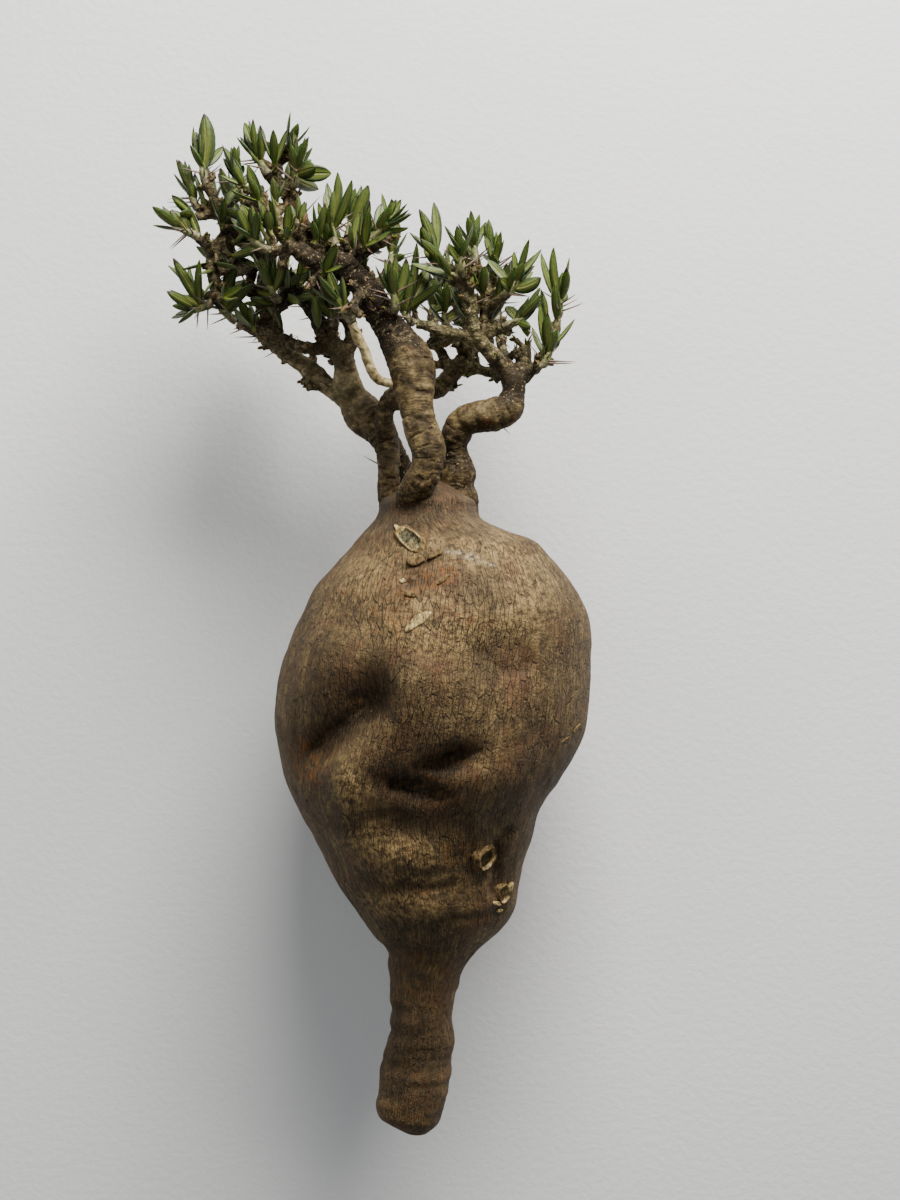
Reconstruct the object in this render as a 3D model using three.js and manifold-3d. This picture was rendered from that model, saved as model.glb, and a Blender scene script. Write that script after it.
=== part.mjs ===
import * as THREE from 'three';
import Module from 'manifold-3d';
import { mergeVertices } from 'three/addons/utils/BufferGeometryUtils.js';

// A bare-root caudex plant lying on its back: a swollen root with gnarled spiny stems and tufts of
// narrow leaves. Millimetres. +Y is the way it grows, +Z is up, and the origin is the middle of the
// flat spot under the swollen root that it rests on.

const wasm = await Module();
wasm.setup();

// Driving dimensions of the swollen root
const rootSides = 28;
const longestRing = 9.5;
const taproot = -110;
const restLevel = 0;
const endRise = 1;

// Profile of the swollen root: y, left edge, right edge, back and front
const rootProfile = [
  [83, -20, 14, 40, 88], [79, -22.5, 17, 39, 92], [74, -23.5, 18.5, 38, 94], [69.5, -26, 23.5, 34, 97],
  [64.5, -31.5, 37, 28, 101], [59.5, -35.5, 45, 21, 104], [54.5, -40, 49.5, 16, 107],
  [44.5, -48.5, 57, 9, 112], [34.5, -54, 63, 4, 116], [24, -59, 66, 1, 118.5], [14, -63, 66.5, -1.5, 120],
  [4, -66, 66.5, -2.6, 121], [-6, -67, 65, -2.8, 121], [-16, -67, 63, -2, 120], [-26, -65.5, 59, 0, 118],
  [-36, -63, 53.5, 3, 115], [-46, -59, 46.5, 7, 111], [-52, -56, 43.5, 10, 108], [-61, -50.5, 41, 15, 104],
  [-71, -45, 38, 20, 100], [-82, -40, 35.5, 25, 96], [-92, -32.5, 33, 31, 92], [-101, -26, 27, 37, 86],
  [-109, -19.5, 18.5, 42, 80], [-118, -18.5, 11.5, 45, 77], [-126, -18, 8.5, 46, 76],
  [-136, -18, 7.5, 46, 76], [-148, -19.5, 8, 45, 75], [-157, -22, 7, 44, 74], [-167, -24, 5.5, 44, 74],
  [-177, -24.5, 3, 45, 73], [-182, -20.5, 1, 47, 71], [-185.5, -13, -3, 52, 66]];

// Dents (minus) and swellings of the root: x, y, spread along, spread across, turn in degrees,
// depth, and the side it lies on (1 front, -1 back)
const rootForms = [
  [-26, -2, 9, 7, 38, -7, 1], [-37, -12, 12, 6, 42, -4.5, 1], [-47, -21, 8, 5, 40, -3.5, 1],
  [-42, 16, 12, 9, 60, 2, 1], [-13, 0, 13, 5, 80, 2, 1], [27, 15, 11, 9, 10, -2.5, 1],
  [46, 38, 16, 14, 0, 2, 1], [0, 6, 13, 13, 0, 3, 1], [-8, -37, 9, 3.8, -13, -6, 1],
  [6, -25, 10, 4, 20, -6, 1], [19, -18, 6, 4, 50, -2, 1], [-33.5, -38, 11, 6, 85, 4.5, 1],
  [27, -36, 14, 11, 20, 3.5, 1], [-10, -52, 13, 8, 0, -5, 1], [-12, -66, 15, 7, 0, 3, 1],
  [-26, -58, 9, 8, 55, 2.5, 1], [-8, -79, 14, 3, -3, -2, 1], [-10, -86, 14, 4, 0, 1.5, 1],
  [26, -69, 11, 2.8, 95, -2.5, 1], [36, -58, 8, 5, 90, 1.5, 1], [38.6, 66, 5, 5, 0, 3, 1],
  [-20, 34, 22, 16, 0, 1.5, 1], [10, 48, 16, 10, 0, 1.5, 1], [30, 32, 16, 11, 30, -6, -1],
  [-38, 28, 14, 12, 0, 3, -1], [-34, -40, 16, 9, -30, -5, -1], [30, -46, 14, 12, 0, 3, -1],
  [4, -68, 20, 5, 0, -4, -1], [-10, 58, 14, 8, 0, -3, -1]];

// Cut-off side roots and stems that left a flat round stub: x, y, radius along, radius across, turn
const cutStubs = [
  [-9.3, 62, 7.4, 3.6, -45], [21, -66.5, 5, 4.6, 0], [28.5, -83, 4, 3.4, -50]];
const stubRise = 1.6;
const stubDepth = 6;
const stubSides = 10;
const stubTaper = 1.15;

// Wood
const socketGap = 0.3;
const thickWood = 4.5;
const thinWood = 3.2;
const woodSides = 8;
const twigSides = 6;
const thinSides = 5;
const knobbiness = 0.1;
const footingStations = 6;
const twigSocketStations = 4;

// Leaves and the green shoots that bear them. A station of a leaf is a share of its length and the
// share of its width that it has there; a place is a share of its shoot's length.
const shootLength = 7;
const shootRadius = 1.9;
const shootTipRadius = 1.2;
const shootSides = 6;
const shootNeck = 1.5;
const leafStations = [[0.4, 0.95], [0.75, 0.9]];
const leafThickness = 1.3;
const leafFold = 0.3;
const leafLength = [11, 17];
const leafWidth = [3.4, 4.8];
const leafOpening = [15, 45];
const leafUpturn = 0.55;
const leafBulge = 0.3;
const leafLifts = [0, 4, -4, 8, -8, 12, -12];
const shownPlaces = [0.35, 0.85];
const rulePlaces = [0.3, 0.9];
const leafTries = 12;
const tryTurn = 40;
const leafSeat = 0.6;
const leafClear = 2.3;
const ownClear = 1.5;
const ownLeafFrom = 0.35;
const ownWoodFrom = 0.25;
const woodClear = 1.2;
const lowestLeaf = 4;

// Spines
const spineLength = [7, 10];
const spineRadius = 0.7;
const spineClear = 1.6;
const spineLean = 0.4;
const spineReach = 0.9;
const spinePlace = 0.15;
const spineShares = [0.35, 0.5, 0.65, 0.82, 1];
const spinesPerShoot = 2;

const goldenAngle = 137.508;

// Branches of each stem. A path lists x, y, z and the radius of the wood. Where grow is given, the
// branch ends in a green shoot that points that way and bears the listed leaves (x, y and z of the
// tip, width, roll and sideways bow) and as many more by rule as the last number says.
const frontBranches = [
  // Trunk
  { path: [
      [-10, 67, 68, 5], [-13, 74, 80, 4.5], [-10, 80, 87, 5], [-6, 85, 91, 5.5], [-3, 91, 92, 6.5],
      [-2, 99, 92, 6.5], [-5, 107, 91, 6.5], [-7, 116, 90, 7.5], [-8, 125, 88, 9], [-9, 134, 86, 9],
      [-14, 143, 84, 7.5], [-20, 152, 84, 6.5], [-25, 160, 86, 6], [-31, 168, 88, 5.5],
      [-37, 174, 88, 5.5], [-44, 174, 90, 4], [-51, 177, 92, 4], [-57, 182, 92, 3.5],
      [-62, 189, 92, 3.5], [-67, 196, 90, 3], [-70, 200, 91, 2.5], [-71, 206, 92, 2]],
    footing: true, spines: 3 },
  // Upper arm
  { path: [
      [-33, 170, 86, 3.5], [-38, 178, 84, 3.5], [-44, 181, 82, 3.5], [-50, 184, 80, 3.5],
      [-54, 191, 80, 3.5], [-57, 198, 80, 3.5], [-60, 205, 79, 3], [-64, 209, 78, 2.5],
      [-68, 213, 78, 2.5]],
    spines: 3, grow: [-6, 10, 1], more: 4,
    leaves: [
      [-74, 235, 84, 3, 20, 0.16], [-72, 234, 76, 4, 10, 0], [-75, 221, 84, 4, 60, 0.1]] },
  // Dead stub with a bent tip
  { path: [
      [-63, 208, 79, 2], [-65, 215, 76, 2], [-64, 221, 76, 2], [-64, 225, 76, 2], [-61, 224, 78, 1.5]],
    spines: 0 },
  // Short twig beside the dead stub
  { path: [
      [-60, 203, 79, 2.5], [-58, 207, 82, 2]],
    spines: 1, grow: [2, 10, 3], more: 3,
    leaves: [
      [-55, 224, 82, 6.5, 0, 0], [-48, 214, 90, 7, 10, 0.1], [-42, 213, 82, 7, 15, 0],
      [-51, 221, 74, 3, 30, 0], [-48, 209, 76, 6, 20, -0.1]] },
  // Twig that ends the trunk
  { path: [
      [-62, 190, 91, 3], [-69, 194, 87, 2.5], [-74, 198, 84, 2.5], [-77, 203, 84, 2]],
    spines: 2, grow: [-4, 8, 0], more: 3,
    leaves: [
      [-86, 224, 80, 4, 15, 0], [-83, 223, 84, 4, 0, 0], [-81, 222, 88, 4, 10, 0],
      [-77, 214, 90, 3, 20, 0], [-75, 214, 80, 3, 30, 0], [-84, 198, 86, 5, 30, 0]] },
  // Front twig near the end of the trunk
  { path: [
      [-56, 181, 92, 3], [-61, 179, 97, 2.5], [-66, 179, 99, 2]],
    spines: 1, grow: [-7, 5, 2], more: 3,
    leaves: [
      [-77, 197, 101, 5, 15, 0.08], [-73, 195, 106, 4.5, 0, 0.05], [-70, 192, 108, 4, 10, 0]] },
  // First of the twigs at the elbow
  { path: [
      [-41, 178, 84, 3.5], [-41, 183, 85, 2.5]],
    spines: 1, grow: [-1, 9, 1], more: 3,
    leaves: [
      [-47, 200, 88, 4, 35, 0.12], [-44, 210, 82, 4, 10, 0], [-39, 212, 90, 4, 10, 0],
      [-38, 210, 80, 3, 40, 0], [-33, 208, 86, 4, 10, 0]] },
  // Second of the twigs at the elbow
  { path: [
      [-36, 175, 84, 3.5], [-34, 182, 80, 2.5], [-35, 187, 76, 2.5]],
    spines: 1, grow: [1, 9, -2], more: 3,
    leaves: [
      [-27, 209, 78, 6, 0, 0], [-30, 210, 72, 3.5, 20, 0], [-37, 206, 76, 4.5, 30, 0]] },
  // Twig that leans right from the elbow
  { path: [
      [-36, 176, 84, 3], [-31, 180, 88, 2], [-27, 183, 91, 2]],
    spines: 2, grow: [6, 5, 2], more: 3,
    leaves: [
      [-17, 197, 94, 4, 10, 0], [-21, 200, 90, 4.5, 5, 0], [-10, 189, 92, 2.5, 30, 0],
      [-18, 189, 99, 5, 10, -0.05]] },
  // Bare spurs
  { path: [
      [-45, 175, 90, 3], [-47, 169, 92, 2], [-50, 166, 93, 2]],
    spines: 1 },
  { path: [
      [-59, 184, 92, 2.5], [-55, 186, 95, 2], [-53, 190, 96, 2]],
    spines: 1 },
  { path: [
      [-28, 164, 88, 3], [-31, 159, 96, 2], [-33, 156, 98, 2]],
    spines: 0 },
  // Broken twig at the elbow
  { path: [
      [-34, 176, 83, 2.5], [-30, 180, 80, 2.5], [-23, 184, 79, 2], [-17, 187, 79, 1]],
    spines: 0 },
  // Twig below the elbow
  { path: [
      [-26, 163, 82, 3.5], [-22, 169, 75, 2.5], [-19, 175, 71, 2]],
    spines: 1, grow: [1, 8, -2], more: 3,
    leaves: [
      [-12, 181, 72, 3.5, 20, 0], [-12, 173, 70, 3, 20, 0], [-15, 186, 66, 3.5, 20, 0]] },
  // Short twig on the right of the trunk
  { path: [
      [-18, 151, 86, 3], [-16, 155, 90, 2]],
    spines: 1, grow: [-1, 9, 3], more: 2,
    leaves: [
      [-11, 176, 96, 4.5, 5, -0.05], [-20, 171, 92, 5, 20, 0]] },
];
const leftBranches = [
  // Front leg, which runs on as the lower arm
  { path: [
      [-19, 66, 58, 3.5], [-19, 75, 62, 3.5], [-19, 84, 62, 3.5], [-19, 93, 62, 4],
      [-20, 103, 58, 5.5], [-24, 111, 54, 7], [-30, 117, 50, 8], [-36, 124, 50, 7],
      [-44, 128, 50, 4.5], [-51, 134, 50, 4.5], [-57, 139, 50, 4], [-63, 143, 50, 4],
      [-68, 147, 50, 3.5], [-72, 149, 50, 3]],
    footing: true, spines: 3, grow: [-6, 7, -3], more: 5,
    leaves: [] },
  // Back leg
  { path: [
      [-3, 76, 48, 4], [-9, 86, 46, 4], [-13, 94, 46, 4], [-17, 102, 48, 4.5], [-22, 109, 52, 6]],
    footing: true, spines: 0 },
  // Middle arm
  { path: [
      [-20, 107, 60, 4], [-21, 115, 64, 4], [-17, 124, 62, 3.5], [-8, 127, 58, 3.5], [1, 127, 54, 4],
      [6, 132, 52, 4], [11, 138, 52, 4], [16, 144, 49, 3], [19, 151, 45, 2.5], [15, 158, 42, 2.5],
      [10, 164, 40, 2]],
    spines: 2, grow: [-4, 8, -1], more: 4,
    leaves: [
      [10, 170, 46, 4.5, 15, 0]] },
  // Back twig of the middle arm
  { path: [
      [8, 134, 54, 2.5], [3, 143, 50, 2], [0, 151, 48, 2], [-1, 156, 48, 2]],
    spines: 1, grow: [1, 9, 0], more: 3,
    leaves: [
      [10, 168, 52, 4.5, 10, 0], [3, 167, 46, 4, 20, 0]] },
  // Front twig of the middle arm
  { path: [
      [15, 142, 50, 2.5], [10, 147, 56, 2], [6, 152, 58, 2]],
    spines: 1, grow: [-1, 9, 1], more: 2,
    leaves: [
      [12, 161, 60, 5, 5, 0]] },
  // Upper arm
  { path: [
      [-35, 123, 50, 6.5], [-37, 131, 54, 5.5], [-38, 138, 57, 5], [-42, 145, 60, 4],
      [-47, 151, 62, 3.5], [-50, 158, 64, 3.5], [-55, 164, 66, 3], [-61, 170, 68, 3],
      [-68, 176, 70, 3], [-74, 182, 72, 2.5], [-80, 187, 72, 2.5], [-85, 193, 73, 2.5],
      [-89, 199, 74, 2.5], [-92, 206, 74, 2], [-94, 210, 74, 2]],
    spines: 4, grow: [-2, 10, 0], more: 4,
    leaves: [
      [-95, 239, 76, 7.5, 0, 0], [-100, 235, 70, 2.5, 50, 0.2], [-88, 227, 68, 4, 15, 0],
      [-98, 232, 68, 4.5, 20, 0]] },
  // Twig low on the upper arm
  { path: [
      [-43, 143, 60, 2.5], [-50, 143, 64, 2.5], [-57, 144, 67, 2.5], [-64, 147, 68, 2.5],
      [-72, 149, 68, 2.5], [-78, 152, 68, 2], [-82, 154, 68, 2]],
    spines: 2, grow: [-8, 6, 2], more: 4,
    leaves: [
      [-82, 177, 74, 6, 10, 0.28], [-79, 171, 66, 4, 30, -0.2], [-74, 169, 72, 4, 30, 0]] },
  // Drooping twig
  { path: [
      [-84, 192, 73, 2.5], [-88, 186, 78, 2.5], [-91, 179, 81, 2.5], [-91, 172, 82, 2.5],
      [-89, 166, 82, 2.5], [-91, 161, 82, 2]],
    spines: 3, grow: [-9, -4, 0], more: 3,
    leaves: [
      [-109, 175, 84, 3, 30, -0.12], [-106, 177, 90, 4.5, 10, 0], [-95, 176, 88, 3.5, 30, 0],
      [-101, 176, 78, 3, 30, 0]] },
  // Side twig of the drooping twig
  { path: [
      [-91, 179, 81, 2.5], [-94, 184, 82, 2], [-96, 186, 82, 2]],
    spines: 2, grow: [-8, 3, 1], more: 3,
    leaves: [
      [-107, 197, 86, 5.5, 5, 0], [-102, 197, 78, 4, 30, 0]] },
  // Short twig near the upper end
  { path: [
      [-88, 197, 73, 2], [-93, 198, 72, 2], [-97, 200, 71, 2]],
    spines: 2, grow: [-4, 9, 0], more: 4,
    leaves: [
      [-101, 208, 70, 3, 30, 0]] },
  // Front twig halfway up
  { path: [
      [-60, 169, 68, 2.5], [-61, 164, 74, 2], [-64, 162, 79, 2]],
    spines: 1, grow: [-4, 8, 4], more: 4,
    leaves: [
      [-61, 176, 88, 4.5, 10, 0]] },
  // Front twig lower down
  { path: [
      [-45, 148, 62, 3], [-42, 152, 68, 2.5]],
    spines: 1, grow: [-1, 7, 4], more: 3,
    leaves: [
      [-54, 167, 76, 5, 5, 0]] },
  // Bare twigs inside the crown
  { path: [
      [-67, 146, 50, 3], [-71, 156, 50, 3], [-71, 164, 52, 3], [-73, 172, 54, 2.5],
      [-71, 179, 54, 2.5], [-69, 186, 52, 2]],
    spines: 1 },
  { path: [
      [-71, 165, 52, 2], [-76, 167, 58, 2], [-81, 168, 62, 1.5]],
    spines: 1 },
  { path: [
      [-38, 140, 56, 3.5], [-35, 148, 58, 3], [-36, 157, 60, 3], [-39, 164, 62, 2.5],
      [-43, 169, 64, 2.5], [-46, 174, 66, 2]],
    spines: 1 },
  { path: [
      [-56, 165, 67, 2.5], [-61, 164, 60, 2.5], [-66, 161, 55, 2], [-70, 158, 52, 2]],
    spines: 1 },
  { path: [
      [-85, 193, 73, 2.5], [-82, 196, 68, 2], [-80, 202, 66, 2]],
    spines: 1 },
  { path: [
      [-91, 172, 82, 2], [-86, 174, 76, 2], [-83, 178, 73, 1.5]],
    spines: 1 },
  // Rear twigs
  { path: [
      [-57, 139, 50, 3], [-62, 141, 40, 2], [-65, 146, 32, 2]],
    spines: 1, grow: [-6, 8, -6], more: 6,
    leaves: [] },
  { path: [
      [-38, 138, 57, 3.5], [-43, 144, 44, 2.5], [-47, 152, 34, 2], [-51, 159, 30, 2]],
    spines: 1, grow: [-3, 8, -3], more: 7,
    leaves: [] },
  { path: [
      [-56, 164, 66, 2.5], [-60, 169, 54, 2], [-66, 176, 45, 2]],
    spines: 1, grow: [-5, 8, -4], more: 7,
    leaves: [] },
  { path: [
      [-80, 187, 72, 2.5], [-83, 193, 60, 2], [-86, 200, 52, 2]],
    spines: 1, grow: [-1, 9, -4], more: 6,
    leaves: [] },
  { path: [
      [-71, 178, 71, 2.5], [-77, 177, 60, 2], [-83, 177, 52, 2]],
    spines: 1, grow: [-8, 3, -4], more: 6,
    leaves: [] },
];
const rightBranches = [
  // Trunk, which runs on as the left arm
  { path: [
      [11, 71, 60, 8], [10, 79, 62, 7.5], [9, 86, 63, 7.5], [10, 92, 64, 7], [9, 100, 65, 5.5],
      [9, 106, 66, 6], [12, 112, 68, 7], [18, 114, 70, 7], [25, 115, 71, 6.5], [31, 118, 71, 6.5],
      [33, 124, 70, 5.5], [33, 129, 70, 5.5], [30, 134, 70, 4], [26, 138, 71, 3.5], [22, 142, 72, 3],
      [18, 145, 74, 2.5], [13, 147, 75, 2.5], [8, 148, 76, 2.5], [3, 149, 76, 2.5], [-2, 151, 76, 2],
      [-7, 152, 76, 2]],
    footing: true, spines: 2, grow: [-6, 7, 1], more: 3,
    leaves: [
      [-9, 172, 80, 4.5, 10, 0.1], [-7, 186, 74, 4, 20, 0], [-2, 178, 70, 6, 15, 0],
      [3, 167, 82, 4, 10, 0], [-13, 162, 72, 4, 30, 0]] },
  // Bare stub
  { path: [
      [33, 127, 70, 5], [36, 133, 69, 4], [38, 139, 68, 2.5], [38, 144, 68, 2.5]],
    spines: 0 },
  // Twig beside the stub
  { path: [
      [37, 130, 68, 3], [41, 134, 69, 2.5], [44, 135, 70, 2]],
    spines: 1, grow: [4, 8, 1], more: 2,
    leaves: [
      [41, 152, 66, 3, 30, 0.05], [44, 161, 74, 3.5, 20, 0], [47, 156, 80, 4.5, 5, 0],
      [51, 151, 72, 4.5, 10, -0.15]] },
  // Twig farthest right
  { path: [
      [42, 133, 68, 2], [47, 141, 64, 2], [51, 150, 62, 2], [52, 156, 62, 1.5]],
    spines: 3, grow: [1, 10, 1], more: 2,
    leaves: [
      [45, 184, 60, 3.5, 20, 0], [50, 185, 68, 4, 10, 0], [55, 176, 72, 4, 10, -0.15],
      [56, 167, 60, 4, 20, 0]] },
  // Crossbar behind the arms
  { path: [
      [31, 131, 68, 2.5], [26, 133, 62, 2.5], [19, 135, 58, 2], [15, 138, 60, 2]],
    spines: 0 },
  // Upright arm
  { path: [
      [18, 145, 75, 2.5], [16, 153, 76, 2.5], [16, 160, 77, 2.5], [14, 165, 78, 2.5],
      [11, 170, 79, 2.5], [8, 174, 80, 2], [5, 175, 80, 2]],
    spines: 2, grow: [-6, 7, 1], more: 3,
    leaves: [
      [-6, 198, 84, 4.5, 5, 0], [0, 202, 78, 4.5, 5, 0], [-4, 180, 88, 4, 25, 0]] },
  // Short twig on the upright arm
  { path: [
      [13, 167, 79, 2], [12, 171, 84, 2]],
    spines: 1, grow: [-1, 8, 3], more: 2,
    leaves: [
      [6, 183, 90, 3.5, 10, 0], [10, 185, 86, 4, 10, 0]] },
  // Second upright arm
  { path: [
      [20, 143, 72, 2.5], [21, 152, 70, 2.5], [22, 161, 69, 2.5], [21, 168, 69, 2.5], [19, 174, 69, 2],
      [18, 177, 70, 2]],
    spines: 2, grow: [-1, 10, 0], more: 3,
    leaves: [
      [19, 198, 72, 3.5, 15, 0.15], [22, 196, 66, 3, 20, 0.15]] },
  // Side twig of the second upright arm
  { path: [
      [22, 162, 69, 2.5], [25, 167, 66, 2], [25, 173, 65, 2]],
    spines: 1, grow: [-1, 10, 0], more: 2,
    leaves: [
      [26, 192, 66, 3, 20, -0.05], [21, 183, 60, 3.5, 30, 0]] },
  // Upper right twig
  { path: [
      [22, 158, 70, 2.5], [26, 161, 76, 2], [29, 163, 79, 2]],
    spines: 2, grow: [6, 7, 2], more: 2,
    leaves: [
      [44, 170, 84, 6, 0, -0.12], [22, 178, 80, 4, 15, 0], [39, 185, 88, 3, 10, -0.1],
      [33, 181, 82, 3, 15, 0], [27, 169, 88, 5, 15, 0]] },
  // Lower right twig
  { path: [
      [20, 148, 71, 2.5], [25, 150, 72, 2.5], [29, 151, 74, 2]],
    spines: 2, grow: [7, 3, 2], more: 2,
    leaves: [
      [43, 162, 78, 6, 0, -0.08], [40, 150, 82, 4, 20, -0.06], [30, 160, 70, 5, 20, 0],
      [39, 147, 68, 4, 20, 0.12]] },
  // Rear twigs
  { path: [
      [17, 157, 76, 2.5], [13, 161, 62, 2], [10, 166, 54, 2]],
    spines: 1, grow: [-5, 8, -4], more: 6,
    leaves: [] },
  { path: [
      [30, 134, 70, 3.5], [29, 142, 58, 2.5], [28, 150, 46, 2], [27, 157, 40, 2]],
    spines: 1, grow: [-1, 9, -2], more: 7,
    leaves: [] },
  { path: [
      [22, 167, 69, 2.5], [19, 170, 58, 2], [16, 176, 50, 2]],
    spines: 1, grow: [-3, 9, -3], more: 6,
    leaves: [] },
];
const twigBranches = [
  // Pale twig
  { path: [
      [-12, 125, 88, 2], [-18, 126, 89, 2], [-23, 128, 90, 2], [-26, 133, 91, 2], [-28, 139, 92, 2],
      [-31, 145, 92, 2], [-33, 150, 93, 2]],
    spines: 1, grow: [-6, 8, 3], more: 4,
    leaves: [
      [-39, 160, 98, 4.5, 10, 0]] },
];

// Seeded draw of numbers from 0 to 1
function seededDraw(seed) {
  let state = seed * 7919 + 17;
  const draw = () => {
    state = (state * 1664525 + 1013904223) % 4294967296;
    return state / 4294967296;
  };
  for (let i = 0; i < 4; i++) draw();
  return draw;
}

function between(range, share) {
  return range[0] + (range[1] - range[0]) * share;
}

function vector(p) {
  return new THREE.Vector3(p[0], p[1], p[2]);
}

// Two unit vectors square to a direction
function crossFrame(direction) {
  const ref = Math.abs(direction.z) < 0.9 ? new THREE.Vector3(0, 0, 1) : new THREE.Vector3(0, 1, 0);
  const u = direction.clone().cross(ref).normalize();
  const v = direction.clone().cross(u);
  return [u, v];
}

// Closed body from rings of as many points each, with flat ends or, where a tip is given, a point
function loft(rings, startTip, endTip) {
  const sides = rings[0].length;
  const points = rings.flat();
  const faces = [];
  for (let i = 0; i + 1 < rings.length; i++) {
    for (let j = 0; j < sides; j++) {
      const a = i * sides + j;
      const b = i * sides + (j + 1) % sides;
      faces.push(a, b, b + sides, a, b + sides, a + sides);
    }
  }
  const last = (rings.length - 1) * sides;
  if (startTip) {
    points.push(startTip);
    for (let j = 0; j < sides; j++) faces.push(points.length - 1, (j + 1) % sides, j);
  } else {
    for (let j = 1; j + 1 < sides; j++) faces.push(0, j + 1, j);
  }
  if (endTip) {
    points.push(endTip);
    for (let j = 0; j < sides; j++) faces.push(points.length - 1, last + j, last + (j + 1) % sides);
  } else {
    for (let j = 1; j + 1 < sides; j++) faces.push(last, last + j, last + j + 1);
  }
  const positions = points.flatMap((p) => p.toArray());
  const geometry = new THREE.BufferGeometry();
  geometry.setAttribute('position', new THREE.Float32BufferAttribute(positions, 3));
  geometry.setIndex(faces);
  return geometry;
}

function solid(geometry) {
  const merged = mergeVertices(geometry);
  const vertProperties = Float32Array.from(merged.attributes.position.array);
  const triVerts = Uint32Array.from(merged.index.array);
  return new wasm.Manifold(new wasm.Mesh({ numProp: 3, vertProperties, triVerts }));
}

function join(solids) {
  return solids.reduce((whole, piece) => whole.add(piece));
}

// Geometry of a solid, without any loose scrap that a cut left beside its main body
function geometryOf(body) {
  const mesh = body.getMesh();
  const parent = Array.from({ length: mesh.vertProperties.length / 3 }, (_, i) => i);
  const find = (i) => {
    while (parent[i] !== i) i = parent[i] = parent[parent[i]];
    return i;
  };
  const corners = mesh.triVerts;
  for (let i = 0; i < corners.length; i += 3) {
    parent[find(corners[i])] = find(corners[i + 1]);
    parent[find(corners[i + 1])] = find(corners[i + 2]);
  }
  const count = new Map();
  for (const corner of corners) count.set(find(corner), (count.get(find(corner)) ?? 0) + 1);
  const main = [...count].sort((a, b) => b[1] - a[1])[0][0];
  const kept = [];
  for (let i = 0; i < corners.length; i += 3) {
    if (find(corners[i]) === main) kept.push(corners[i], corners[i + 1], corners[i + 2]);
  }
  const geometry = new THREE.BufferGeometry();
  geometry.setAttribute('position', new THREE.Float32BufferAttribute(mesh.vertProperties, 3));
  geometry.setIndex(kept);
  return geometry.toNonIndexed();
}

// Row of the root's profile at a height, smoothed between the listed rows
function rootRow(y) {
  let i = 0;
  while (i + 2 < rootProfile.length && rootProfile[i + 1][0] > y) i++;
  const a = rootProfile[i];
  const b = rootProfile[i + 1];
  const before = rootProfile[Math.max(i - 1, 0)];
  const after = rootProfile[Math.min(i + 2, rootProfile.length - 1)];
  const step = b[0] - a[0];
  const t = (y - a[0]) / step;
  return [1, 2, 3, 4].map((k) => {
    const slopeA = (b[k] - before[k]) / (b[0] - before[0]) * step;
    const slopeB = (after[k] - a[k]) / (after[0] - a[0]) * step;
    return (2 * t ** 3 - 3 * t ** 2 + 1) * a[k] + (t ** 3 - 2 * t ** 2 + t) * slopeA
      + (3 * t ** 2 - 2 * t ** 3) * b[k] + (t ** 3 - t ** 2) * slopeB;
  });
}

function smoothStep(low, high, value) {
  const t = Math.min(Math.max((value - low) / (high - low), 0), 1);
  return t * t * (3 - 2 * t);
}

// Point of the root's surface at a height and an angle round it, 0 to the right and 90 to the front
function rootPoint(y, degrees) {
  const [left, right, back, front] = rootRow(y);
  const angle = THREE.MathUtils.degToRad(degrees);
  const halfWidth = (right - left) / 2;
  const halfDepth = (front - back) / 2;
  const x = (left + right) / 2 + halfWidth * Math.cos(angle);
  const z = (back + front) / 2 + halfDepth * Math.sin(angle);
  let rise = 0;
  for (const [fx, fy, along, across, turn, depth, side] of rootForms) {
    const tilt = THREE.MathUtils.degToRad(turn);
    const a = (x - fx) * Math.cos(tilt) + (y - fy) * Math.sin(tilt);
    const b = (y - fy) * Math.cos(tilt) - (x - fx) * Math.sin(tilt);
    const weight = smoothStep(-0.1, 0.3, side * Math.sin(angle));
    rise += depth * weight * Math.exp(-0.5 * ((a / along) ** 2 + (b / across) ** 2));
  }
  const px = x + rise * Math.cos(angle);
  const pz = z + rise * Math.sin(angle);
  return new THREE.Vector3(px, y, Math.max(pz, restLevel));
}

// Front of the root at a place seen from above
function rootFront(x, y) {
  const [left, right] = rootRow(y);
  const share = (x - (left + right) / 2) / ((right - left) / 2);
  const degrees = THREE.MathUtils.radToDeg(Math.acos(share));
  return [rootPoint(y, degrees), degrees];
}

function cutStub([x, y, along, across, turn]) {
  const [centre, degrees] = rootFront(x, y);
  const step = 2;
  const beside = rootPoint(y, degrees + step).sub(rootPoint(y, degrees - step));
  const ahead = rootPoint(y + step, degrees).sub(rootPoint(y - step, degrees));
  const normal = ahead.cross(beside).normalize();
  if (normal.z < 0) normal.negate();
  const tilt = THREE.MathUtils.degToRad(turn);
  const u = new THREE.Vector3(Math.cos(tilt), Math.sin(tilt), 0);
  u.addScaledVector(normal, -u.dot(normal)).normalize();
  const v = normal.clone().cross(u);
  const rings = [-stubDepth, stubRise].map((level, k) => {
    const size = k === 0 ? stubTaper : 1;
    return Array.from({ length: stubSides }, (_, j) => {
      const angle = j / stubSides * 2 * Math.PI;
      return centre.clone().addScaledVector(normal, level)
        .addScaledVector(u, size * along * Math.cos(angle))
        .addScaledVector(v, size * across * Math.sin(angle));
    });
  });
  return solid(loft(rings));
}

// Heights of the root's rings: every listed row, and halfway between where the swollen part is wide
function ringHeights() {
  const heights = rootProfile.map(([y]) => y);
  const halfway = heights.slice(1).map((y, i) => [heights[i], y])
    .filter(([upper, lower]) => upper - lower > longestRing && lower > taproot)
    .map(([upper, lower]) => (upper + lower) / 2);
  return [...heights, ...halfway].sort((a, b) => b - a);
}

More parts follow.
